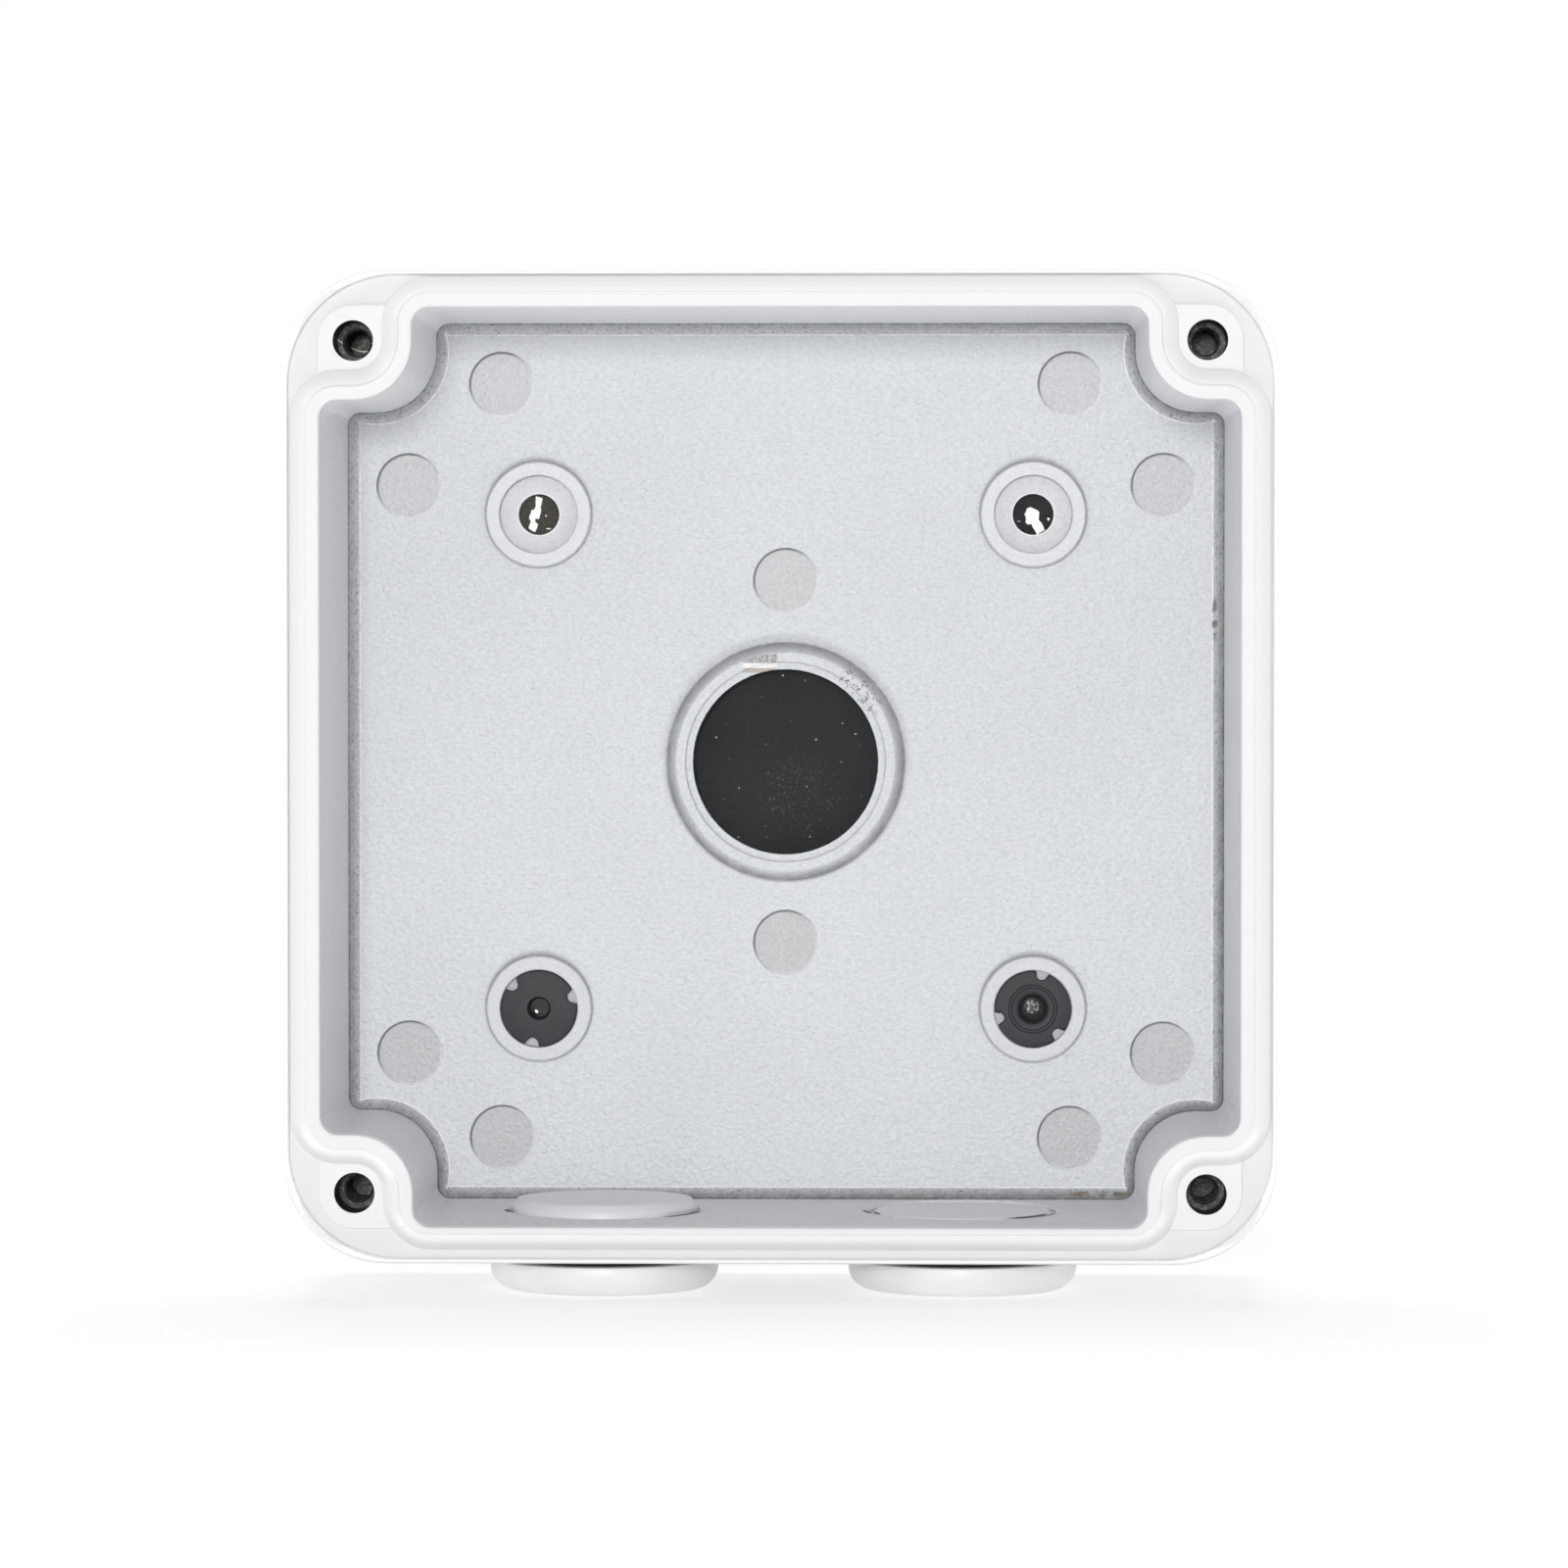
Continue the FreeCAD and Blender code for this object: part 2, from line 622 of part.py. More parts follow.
def build_pad():
    """The foam pad, torn through behind the upper screw holes and pierced behind one seal."""
    pad = new_body("wall_pad")
    outline = new_sketch(pad, "pad_outline", "XZ_Plane")
    add_rounded_square(outline, PAD_HALF, "Sizes.pad_round")
    extrude(pad, "Pad", "foam", outline, "Sizes.pad_thickness")
    tears = new_sketch(pad, "tears", "XZ_Plane")
    for name, side, corners in (("left", "-", LEFT_TEAR), ("right", "", RIGHT_TEAR)):
        places = [
            ("%s%s + %g" % (side, BOSS_PLACE, across), "%s + %g" % (BOSS_PLACE, along))
            for across, along in corners
        ]
        add_polygon(tears, name, places)
    across = "-%s + Sizes.pinhole_across" % BOSS_PLACE
    along = "-%s + Sizes.pinhole_along" % BOSS_PLACE
    add_circle(tears, "pinhole", across, along, "Sizes.pinhole_radius")
    cut(pad, "tear_cuts", tears, "Sizes.pad_thickness", True)


def build_seal(label, side, notch_angles, grooved):
    """A notched rubber seal whose stem enters the hole of a wall screw."""
    seal = new_body(label)
    profile = new_sketch(seal, "profile", "XY_Plane")
    rim = "(Sizes.head_seat_radius - Sizes.seal_clearance)"
    stem = "(Sizes.wall_screw_radius - Sizes.seal_clearance)"
    cup = "Sizes.seal_cup_radius"
    cup_floor = "(Sizes.seal_stem_length - Sizes.seal_membrane)"
    add_polygon(
        profile,
        "seal",
        (
            (None, cup_floor),
            (cup, cup_floor),
            (cup, "-Sizes.seal_thickness"),
            (rim, "-Sizes.seal_thickness"),
            (rim, None),
            (stem, None),
            (stem, "Sizes.seal_stem_length"),
            (None, "Sizes.seal_stem_length"),
        ),
    )
    revolve(seal, "rubber", profile, "Y_Axis")
    notches = new_sketch(seal, "notches", "XZ_Plane", "Sizes.seal_thickness")
    for index, angle in enumerate(notch_angles):
        across = "(%s - Sizes.seal_notch_inset) * cos(%d deg)" % (rim, angle)
        along = "(%s - Sizes.seal_notch_inset) * sin(%d deg)" % (rim, angle)
        add_circle(notches, "notch%d" % index, across, along, "Sizes.seal_notch_radius")
    cut(seal, "notch_cuts", notches, "Sizes.seal_thickness")
    face = new_sketch(seal, "face", "XZ_Plane", "Sizes.seal_thickness")
    if grooved:
        for name, sign in (("groove_inner", "-"), ("groove_outer", "+")):
            radius = "Sizes.seal_groove_radius %s Sizes.seal_groove_width / 2" % sign
            add_circle(face, name, None, None, radius)
        cut(seal, "groove", face, "Sizes.seal_groove_depth")
    else:
        add_circle(face, "pinhole", "Sizes.pinhole_across", "Sizes.pinhole_along", "Sizes.pinhole_radius")
        cut(seal, "pinhole_cut", face, "Sizes.seal_thickness + Sizes.seal_stem_length")
    seal.setExpression("Placement.Base.x", side + BOSS_PLACE)
    seal.setExpression("Placement.Base.y", "-" + HEAD_SEAT)
    seal.setExpression("Placement.Base.z", "-" + BOSS_PLACE)


def build_washer(end, side):
    """The rubber washer between a plug's head and its seat on the lower wall."""
    washer = new_body("plug_washer_" + end)
    ring = new_sketch(washer, "ring", "XY_Plane")
    add_circle(ring, "outer", None, None, WASHER_RADIUS)
    add_circle(ring, "inner", None, None, WASHER_HOLE)
    extrude(washer, "Pad", "rubber", ring, "Sizes.washer_thickness", True)
    place_inlet_piece(washer, side)


def build_plug(end, side):
    """A threaded plug: round head below, plain shank at the thread's outer radius."""
    plug = new_body("inlet_plug_" + end)
    profile = new_sketch(plug, "profile", "XZ_Plane")
    underside = "-Sizes.washer_thickness"
    base = "-(Sizes.washer_thickness + Sizes.plug_head_height)"
    top = "(Sizes.%s_thread_length - Sizes.washer_thickness)" % end
    rounding = [
        (
            "%s - Sizes.plug_head_round * (1 - cos(%d deg))" % (HEAD_RADIUS, angle),
            "%s + Sizes.plug_head_round * (1 - sin(%d deg))" % (base, angle),
        )
        for angle in (90, 60, 30, 0)
    ]
    add_polygon(
        profile,
        "plug",
        (
            (None, base),
            *rounding,
            (HEAD_RADIUS, "%s - Sizes.plug_head_edge" % underside),
            ("%s - Sizes.plug_head_edge" % HEAD_RADIUS, underside),
            (SHANK_RADIUS, underside),
            (SHANK_RADIUS, "%s - Sizes.plug_end_chamfer" % top),
            ("%s - Sizes.plug_end_chamfer" % SHANK_RADIUS, top),
            (None, top),
        ),
    )
    revolve(plug, "turned_form", profile, "Z_Axis")
    slot = new_sketch(plug, "coin_slot", "XY_Plane", base)
    half_length, half_width = "Sizes.coin_slot_length / 2", "Sizes.coin_slot_width / 2"
    corners = (
        ("-" + half_length, "-" + half_width),
        (half_length, "-" + half_width),
        (half_length, half_width),
        ("-" + half_length, half_width),
    )
    add_polygon(slot, "slot", corners)
    cut(plug, "coin_slot_cut", slot, "Sizes.coin_slot_depth", True)
    place_inlet_piece(plug, side)


def place_inlet_piece(body, side):
    """Put a plug or washer on the axis of its inlet, on the outer seat."""
    body.setExpression("Placement.Base.x", side + INLET_PLACE)
    body.setExpression("Placement.Base.y", "-" + INLET_LEVEL)
    body.setExpression("Placement.Base.z", "-" + INLET_SEAT)


build_pad()
build_seal("screw_seal_left", "-", (139, 19, -101), False)
build_seal("screw_seal_right", "", (75, 195, -45), True)
for end, side in (("left", "-"), ("right", "")):
    build_washer(end, side)
    build_plug(end, side)

doc.recompute()
for thing in doc.Objects:
    if "Invalid" in thing.State or "Error" in thing.State:
        raise RuntimeError("%s failed: %s" % (thing.Name, thing.State))
for node in NODES:
    if node.Shape.isNull() or not node.Shape.isValid():
        raise RuntimeError(node.Label + " is not a valid solid")

os.makedirs("parts", exist_ok=True)
for node in NODES:
    node.Shape.exportStep("parts/%s.step" % node.Label)
    box_size = node.Shape.BoundBox
    print("%-18s %9.1f mm3" % (node.Label, node.Shape.Volume), box_size)
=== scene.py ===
import math
import random

import bmesh
import bpy
from bpy.props import FloatProperty, FloatVectorProperty, PointerProperty
from mathutils import Matrix, Vector, noise
from mathutils.geometry import delaunay_2d_cdt


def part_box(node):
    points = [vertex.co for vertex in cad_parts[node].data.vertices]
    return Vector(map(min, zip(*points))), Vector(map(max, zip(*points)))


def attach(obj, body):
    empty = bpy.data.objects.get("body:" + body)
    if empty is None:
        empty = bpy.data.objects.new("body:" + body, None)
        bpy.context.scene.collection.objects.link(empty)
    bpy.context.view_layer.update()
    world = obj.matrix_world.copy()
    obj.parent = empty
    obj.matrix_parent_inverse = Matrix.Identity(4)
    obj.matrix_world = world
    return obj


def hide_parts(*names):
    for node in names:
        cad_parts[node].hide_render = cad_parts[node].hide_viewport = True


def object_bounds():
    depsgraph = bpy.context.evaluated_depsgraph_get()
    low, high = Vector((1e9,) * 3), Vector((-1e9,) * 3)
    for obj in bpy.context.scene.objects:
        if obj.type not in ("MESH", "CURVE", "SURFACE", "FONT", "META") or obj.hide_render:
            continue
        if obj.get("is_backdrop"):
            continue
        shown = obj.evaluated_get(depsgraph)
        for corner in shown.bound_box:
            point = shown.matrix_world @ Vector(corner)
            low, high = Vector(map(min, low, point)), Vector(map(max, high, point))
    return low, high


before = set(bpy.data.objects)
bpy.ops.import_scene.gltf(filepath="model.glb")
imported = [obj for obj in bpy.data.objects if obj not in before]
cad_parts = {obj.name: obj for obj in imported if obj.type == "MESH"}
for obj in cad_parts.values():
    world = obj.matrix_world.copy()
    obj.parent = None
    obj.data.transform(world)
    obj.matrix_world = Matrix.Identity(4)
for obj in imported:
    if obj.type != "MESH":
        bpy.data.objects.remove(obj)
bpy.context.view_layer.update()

bl_info = {
    "name": "Camera junction box",
    "version": (1, 0, 0),
    "blender": (4, 5, 0),
    "location": "3D View > Sidebar > Junction Box",
    "description": "Fine parts, finishes and stage of a die-cast camera junction box",
    "category": "Object",
}

# One millimetre, in metres
MM = 0.001

# The camera's sensor, in millimetres
SENSOR_WIDTH = 36.0

# Places on the casting, in millimetres
CAVITY_HALF = 63.35
RIM_LEVEL = 45.0
SEAT_LEVEL = 43.3
PAD_LEVEL = 2.0
COLLAR_LEVEL = 7.0
SCREW_PLACE = 58.75
POST_RADIUS = 8.15
SCREW_ENTRY_DEPTH = 7.0
SCREW_THREAD_RADIUS = 2.0
BOSS_PLACE = 35.5
HEAD_SEAT_LEVEL = 4.5
REAR_HOLE_RADIUS = 13.3
EJECTOR_NEAR = 40.8
EJECTOR_FAR = 54.15
EJECTOR_MIDDLE = 26.0
EJECTOR_DROP = 1.2
INLET_PLACE = 25.3039
INLET_LEVEL = 20.5
INLET_END = -63.4

# Where a plug's edge stands off the wall: side, place from the plug's axis, and reach
OPEN_STRETCHES = (
    (-1, 11.6, 6.5, 5.5),
    (-1, -13.2, 2.4, 2.2),
    (1, 10.4, 8.4, 5.5),
    (1, -13.0, 3.0, 2.6),
)

# Threads inside holes: height, pitch, and steps in one turn
SCREW_THREAD = (0.24, 0.7, 40)
PIPE_THREAD = (0.16, 1.814, 160)

# Torn edges of the foam, from the middle of each upper screw hole, in millimetres
LEFT_TEAR = (
    (-0.67, 2.75), (0.36, 2.42), (0.22, 1.52), (0.09, 0.09), (-0.22, -0.63), (-0.63, -0.54),
    (-0.72, -0.99), (-0.27, -1.43), (-0.67, -2.51), (-1.75, -1.97), (-1.48, -0.81), (-1.7, -0.36),
    (-1.39, 0.63), (-0.94, 0.81), (-0.72, 1.34),
)
RIGHT_TEAR = (
    (-0.27, 1.12), (0.27, 0.85), (0.9, 0.49), (0.85, -0.49), (1.79, -2.2), (0.54, -2.91),
    (-0.18, -1.39), (-0.72, -1.43), (-1.08, -1.03), (-1.03, -0.4), (-1.21, 0.13), (-0.9, 0.85),
)
# Small holes through the foam: the middle, half the width and half the height
SMALL_HOLES = (
    (-BOSS_PLACE + 0.81, BOSS_PLACE - 0.12, 0.17, 0.17),
    (-BOSS_PLACE + 1.21, BOSS_PLACE - 1.97, 0.42, 0.11),
    (-BOSS_PLACE - 0.6, -BOSS_PLACE - 0.68, 0.33, 0.33),
    (BOSS_PLACE - 1.97, BOSS_PLACE - 0.94, 0.36, 0.05),
    (BOSS_PLACE + 2.24, BOSS_PLACE - 0.62, 0.2, 0.24),
)
# The pad's rounded outer edge: how far in from the side, and from a face
PAD_EDGE = ((0.45, 0.0), (0.2, 0.1), (0.05, 0.28), (0.0, 0.55))
PAD_CORNER = 11.0

# The screw seals: outer radius, height above the seat, and the notches in the rim
SEAL_RIM = 5.45
SEAL_TOP = 1.3
SEAL_EDGE = ((0.2, SEAL_TOP), (0.06, SEAL_TOP - 0.05), (0.0, SEAL_TOP - 0.18), (0.0, 0.1), (0.08, 0.0))
NOTCH_PLACE = 5.15
NOTCH_RADIUS = 0.85
PINHOLE_SHIFT = (-0.6, -0.68)
# Radius and height of the turned middle of each seal
SEAL_MIDDLES = {
    "left": (
        (1.72, 1.3), (1.66, 1.24), (1.6, 1.0), (1.5, -0.9), (1.3, -1.2), (0.42, -1.28), (0.34, -1.34),
        (0.34, -1.9),
    ),
    "right": (
        (3.55, 1.3), (3.49, 1.22), (3.4, 0.98), (3.1, 0.98), (3.02, 1.18), (2.95, 1.26), (2.4, 1.26),
        (2.2, 1.14), (2.0, 0.7), (1.85, -0.4), (1.5, -0.9), (1.0, -0.75), (0.55, -0.45), (0.2, -0.38),
    ),
}


def linear(channel):
    """One channel of a display colour, 0 to 255, as linear light."""
    share = channel / 255
    return share / 12.92 if share <= 0.04045 else ((share + 0.055) / 1.055) ** 2.4


def tone(*channels):
    """A display colour, 0 to 255, as the linear colour that a shader takes."""
    return tuple(linear(channel) for channel in channels)


def shaded(colour, share):
    """A colour times a number."""
    return [channel * share for channel in colour]


# Sizes and colours that a user would change

COLOUR = {"subtype": "COLOR", "size": 3, "min": 0, "max": 1}

class CoatingSettings(bpy.types.PropertyGroup):
    """The white powder coat of the casting."""

    rim_colour: FloatVectorProperty(
        name="Rim colour", description="Colour of the coat on the rim and the outside", **COLOUR,
        default=tone(236, 236, 237),
    )
    # Painted shade: the coat inside the cavity is made greyer than the rim's
    shaded_inside_colour: FloatVectorProperty(
        name="Inside colour", description="Colour of the thinner coat inside the cavity", **COLOUR,
        default=tone(217, 220, 223),
    )
    wall_colour: FloatVectorProperty(
        name="Wall colour", description="Colour of the coat on the cavity's walls", **COLOUR,
        default=tone(234, 234, 237),
    )
    texture_size: FloatProperty(
        name="Texture size", description="Width of one grain of the coat's texture", unit="LENGTH",
        default=0.6 * MM,
    )
    roughness: FloatProperty(
        name="Roughness", description="Roughness of the coat", subtype="FACTOR", min=0, max=1,
        default=0.42,
    )


class PlugSettings(bpy.types.PropertyGroup):
    """The threaded plugs in the lower wall."""

    thread_pitch: FloatProperty(
        name="Thread pitch", description="Distance between two turns of the thread", unit="LENGTH",
        default=1.814 * MM,
    )
    thread_depth: FloatProperty(
        name="Thread depth", description="Depth of the thread in the shank", unit="LENGTH",
        default=1.0 * MM,
    )
    colour: FloatVectorProperty(
        name="Colour", description="Colour of the plugs' plastic", **COLOUR,
        default=tone(247, 247, 246),
    )
    # Painted shade: the plugs' ends inside the box are greyer
    shaded_end_colour: FloatVectorProperty(
        name="End colour", description="Colour of the coated ends inside the box", **COLOUR,
        default=tone(230, 231, 235),
    )


class SoftSettings(bpy.types.PropertyGroup):
    """The black rubber and foam parts."""

    rubber_colour: FloatVectorProperty(
        name="Rubber colour", description="Colour of the seals and washers", **COLOUR,
        default=tone(45, 46, 50),
    )
    foam_colour: FloatVectorProperty(
        name="Foam colour", description="Colour of the pad behind the box", **COLOUR,
        default=tone(43, 44, 46),
    )
    foam_grain: FloatProperty(
        name="Foam grain", description="Spacing of the points that the foam's surface is made from",
        unit="LENGTH", default=3.2 * MM,
    )


class StageSettings(bpy.types.PropertyGroup):
    """The camera and the lamps."""

    distance: FloatProperty(
        name="Camera distance", description="Distance of the camera from the box's rim", unit="LENGTH",
        default=0.8688,
    )
    focal_length: FloatProperty(
        name="Focal length", description="Focal length on a 36 mm wide sensor, in millimetres",
        default=145.3,
    )
    front_power: FloatProperty(
        name="Front lamp", description="Power of the large soft lamp in front", unit="POWER",
        default=27.5,
    )
    top_power: FloatProperty(
        name="Top lamp", description="Power of the soft lamp above and behind the box", unit="POWER",
        default=5.0,
    )
    side_power: FloatProperty(
        name="Side lamps", description="Power of each soft lamp beside and behind the box",
        unit="POWER", default=5.5,
    )
    floor_glow: FloatProperty(
        name="Floor glow", description="Strength of the soft light that the floor gives back", min=0,
        default=0.2,
    )
    world_strength: FloatProperty(
        name="Surrounding light", description="Strength of the even light from all round", min=0,
        default=0.34,
    )


SETTINGS = {
    "junction_coating": CoatingSettings,
    "junction_plugs": PlugSettings,
    "junction_soft": SoftSettings,
    "junction_stage": StageSettings,
}


# Making and joining shader nodes


def put(tree, kind, inputs=None, **settings):
    """A node with its settings, and its inputs set, or linked where a socket is given."""
    node = tree.nodes.new(kind)
    for name, value in settings.items():
        setattr(node, name, value)
    for key, value in (inputs or {}).items():
        if isinstance(value, bpy.types.NodeSocket):
            tree.links.new(value, node.inputs[key])
        else:
            node.inputs[key].default_value = value
    return node


def count(tree, operation, *values):
    """The outcome of one sum on numbers or sockets."""
    return put(tree, "ShaderNodeMath", dict(enumerate(values)), operation=operation).outputs[0]


def vector(tree, operation, *values):
    """The outcome of one sum on vectors, which is a number for some."""
    node = put(tree, "ShaderNodeVectorMath", dict(enumerate(values)), operation=operation)
    return node.outputs["Value" if operation in ("LENGTH", "DISTANCE", "DOT_PRODUCT") else "Vector"]


def axes(tree, point):
    """The three numbers of a vector."""
    return put(tree, "ShaderNodeSeparateXYZ", {0: point}).outputs


def fade(tree, value, low, high, start=0.0, end=1.0):
    """A soft step from start to end as a value goes from low to high."""
    inputs = {"Value": value, "From Min": low, "From Max": high, "To Min": start, "To Max": end}
    return put(tree, "ShaderNodeMapRange", inputs, interpolation_type="SMOOTHSTEP").outputs["Result"]


def fade_out(tree, value, low, high):
    """A soft step from 1 to 0 as a value goes from low to high."""
    return fade(tree, value, low, high, 1.0, 0.0)


def blend(tree, share, first, second):
    """Two colours mixed by a mask."""
    node = put(tree, "ShaderNodeMix", {"Factor": share}, data_type="RGBA")
    colours = [socket for socket in node.inputs if socket.type == "RGBA"]
    for socket, value in zip(colours, (first, second)):
        if isinstance(value, bpy.types.NodeSocket):
            tree.links.new(value, socket)
        else:
            socket.default_value = (*value, 1.0)
    return [socket for socket in node.outputs if socket.type == "RGBA"][0]


def grain(tree, point, size, detail=2.0, rough=0.5):
    """Noise whose grains are about one size across, in millimetres."""
    inputs = {"Vector": point, "Scale": 1 / size, "Detail": detail, "Roughness": rough}
    return put(tree, "ShaderNodeTexNoise", inputs).outputs["Fac"]


def scaled(tree, value, share):
    """A vector or a colour times a number."""
    return put(tree, "ShaderNodeVectorMath", {0: value, "Scale": share}, operation="SCALE").outputs[0]


def facing(tree, normal, way, low=0.35, high=0.65):
    """A mask of the faces that look along a direction."""
    return fade(tree, vector(tree, "DOT_PRODUCT", normal, way), low, high)


def new_group(name, inputs, outputs):
    """An empty node group with named sockets, and its two end nodes."""
    group = bpy.data.node_groups.new(name, "ShaderNodeTree")
    for way, sockets in (("INPUT", inputs), ("OUTPUT", outputs)):
        for label, kind in sockets:
            group.interface.new_socket(label, in_out=way, socket_type="NodeSocket" + kind)
    return group, group.nodes.new("NodeGroupInput"), group.nodes.new("NodeGroupOutput")


def make_place_group():
    """Where a point is on the box, in millimetres."""
    outputs = (
        ("Point", "Vector"),
        ("Folded", "Vector"),
        ("Side", "Float"),
        ("Depth", "Float"),
        ("Radius", "Float"),
        ("Normal", "Vector"),
    )
    group, _, end = new_group("place_on_box", (), outputs)
    coordinates = put(group, "ShaderNodeTexCoord")
    point = scaled(group, coordinates.outputs["Object"], 1 / MM)
    group.links.new(coordinates.outputs["Normal"], end.inputs["Normal"])
    folded = vector(group, "ABSOLUTE", point)
    across, depth, height = axes(group, folded)
    flat = put(group, "ShaderNodeCombineXYZ", {0: across, 2: height}).outputs[0]
    group.links.new(point, end.inputs["Point"])
    group.links.new(flat, end.inputs["Folded"])
    group.links.new(count(group, "MAXIMUM", across, height), end.inputs["Side"])
    group.links.new(depth, end.inputs["Depth"])
    length = vector(group, "LENGTH", flat)
    group.links.new(length, end.inputs["Radius"])
    return group


def make_peel_group():
    """The orange-peel relief of a sprayed or moulded surface."""
    inputs = (("Point", "Vector"), ("Size", "Float"))
    group, start, end = new_group("surface_peel", inputs, (("Height", "Float"),))
    point = start.outputs["Point"]
    scale = count(group, "DIVIDE", 1.0, start.outputs["Size"])
    fine = put(group, "ShaderNodeTexNoise", {"Vector": point, "Scale": scale, "Detail": 1.5})
    wide_scale = count(group, "MULTIPLY", scale, 0.27)
    wide = put(group, "ShaderNodeTexNoise", {"Vector": point, "Scale": wide_scale, "Detail": 1.0})
    height = count(group, "ADD", fine.outputs["Fac"], count(group, "MULTIPLY", wide.outputs["Fac"], 0.5))
    group.links.new(height, end.inputs["Height"])
    return group


def make_speckle_group():
    """Small scattered specks, such as dust and chips."""
    inputs = (("Point", "Vector"), ("Size", "Float"), ("Cover", "Float"))
    group, start, end = new_group("scattered_specks", inputs, (("Mask", "Float"),))
    scale = count(group, "DIVIDE", 1.0, start.outputs["Size"])
    cells = {"Vector": start.outputs["Point"], "Scale": scale, "Detail": 3.0, "Roughness": 0.65}
    value = put(group, "ShaderNodeTexNoise", cells).outputs["Fac"]
    limit = count(group, "SUBTRACT", 0.78, count(group, "MULTIPLY", start.outputs["Cover"], 0.4))
    over = count(group, "SUBTRACT", value, limit)
    group.links.new(fade(group, over, 0.0, 0.05), end.inputs["Mask"])
    return group


GROUP_MAKERS = {
    "place_on_box": make_place_group,
    "surface_peel": make_peel_group,
    "scattered_specks": make_speckle_group,
}


def use_group(tree, name, inputs=None):
    """One of the shared node groups, built when it is first asked for."""
    group = bpy.data.node_groups.get(name) or GROUP_MAKERS[name]()
    return put(tree, "ShaderNodeGroup", inputs, node_tree=group)


def speckled(tree, point, size, cover):
    """A mask of small scattered specks."""
    inputs = {"Point": point, "Size": size, "Cover": cover}
    return use_group(tree, "scattered_specks", inputs).outputs["Mask"]


def peel_height(tree, point, size):
    """The height of the orange peel of a coat or a moulding."""
    return use_group(tree, "surface_peel", {"Point": point, "Size": size}).outputs["Height"]


def new_material(name, **shader_values):
    """A material with one Principled shader, its tree, and its place on the box."""
    material = bpy.data.materials.new(name)
    material.use_nodes = True
    tree = material.node_tree
    shader = tree.nodes["Principled BSDF"]
    for key, value in shader_values.items():
        shader.inputs[key.replace("_", " ")].default_value = value
    return material, tree, shader, use_group(tree, "place_on_box")


def relief(tree, shader, height, strength, distance, edge=0.0):
    """A bump of one height on the shader's normal, over edges that look rounded."""
    inputs = {"Height": height, "Strength": strength, "Distance": distance}
    if edge:
        inputs["Normal"] = put(tree, "ShaderNodeBevel", {"Radius": edge}, samples=6).outputs["Normal"]
    bump = put(tree, "ShaderNodeBump", inputs)
    tree.links.new(bump.outputs["Normal"], shader.inputs["Normal"])


# The finishes


def band(tree, value, low, high, soft):
    """A mask that is 1 while a value is between two bounds."""
    rising = fade(tree, value, low - soft, low + soft)
    return count(tree, "MULTIPLY", rising, fade_out(tree, value, high - soft, high + soft))


def distance_to(tree, point, centre):
    """How far a point is from a centre."""
    return vector(tree, "DISTANCE", point, centre)


def most(tree, masks):
    """The strongest of several masks."""
    result = masks[0]
    for mask in masks[1:]:
        result = count(tree, "MAXIMUM", result, mask)
    return result


def crease_shade_mask(tree, width):
    """A mask of the inner corners, out to a width, from ambient occlusion, for painted shade."""
    open_share = put(tree, "ShaderNodeAmbientOcclusion", {"Distance": width}, samples=8).outputs["AO"]
    return fade_out(tree, open_share, 0.55, 0.95)


def times(tree, *shares):
    """The product of numbers or sockets."""
    result = shares[0]
    for share in shares[1:]:
        result = count(tree, "MULTIPLY", result, share)
    return result


def rim_coat_and_shading(tree, place, post, colour):
    """The rim's coat with painted light and shade: darker on the flange, the outer edge and the inner
    corners, lighter on the lip, the screw seats and the slopes, and by which way a face turns.
    """
    depth, normal = place.outputs["Depth"], place.outputs["Normal"]
    # Painted light on the screw seats and the lip, painted shade on the flange
    seat = fade(tree, post, 7.4, 7.8, 1.0, 1.17)
    flange = fade(tree, depth, 42.6, 42.9, 0.93, fade(tree, depth, 43.32, 43.42, seat, 1.12))
    # Painted light and shade by which way a face turns
    below = facing(tree, normal, (0, 0, -1), 0.03, 0.3)
    below = times(tree, below, fade(tree, depth, 43.8, 44.5, -0.1, 0.12))
    above = facing(tree, normal, (0, 0, 1), 0.03, 0.3)
    above = times(tree, above, fade(tree, depth, 44.2, 44.7, 0.06, 0.12))
    left = facing(tree, normal, (-1, 0, 0), 0.1, 0.5)
    aside = times(tree, count(tree, "MAXIMUM", left, facing(tree, normal, (1, 0, 0), 0.1, 0.5)), 0.08)
    turned = count(tree, "ADD", count(tree, "ADD", 1.0, aside), count(tree, "ADD", below, above))
    # Painted shade and light across the slope and the tongue, a painted shade line on the outer edge, and
    # painted shade in the inner corners
    slope = fade(tree, depth, 43.35, 43.6, 1.0, 0.84)
    upper = fade(tree, depth, 43.6, 44.69, 1.0, 1.08)
    tongue = fade(tree, depth, 44.72, 44.95, 1.0, 0.985)
    ways = ((1, 0, 0), (-1, 0, 0), (0, 0, 1), (0, 0, -1))
    outer = most(tree, [facing(tree, normal, way) for way in ways])
    edge = fade(tree, times(tree, outer, band(tree, depth, 43.0, 43.4, 0.05)), 0, 1, 1.0, 0.9)
    crease = fade(tree, crease_shade_mask(tree, 0.5 * MM), 0, 1, 1.0, 0.97)
    return scaled(tree, colour, times(tree, flange, slope, upper, tongue, edge, crease, turned))


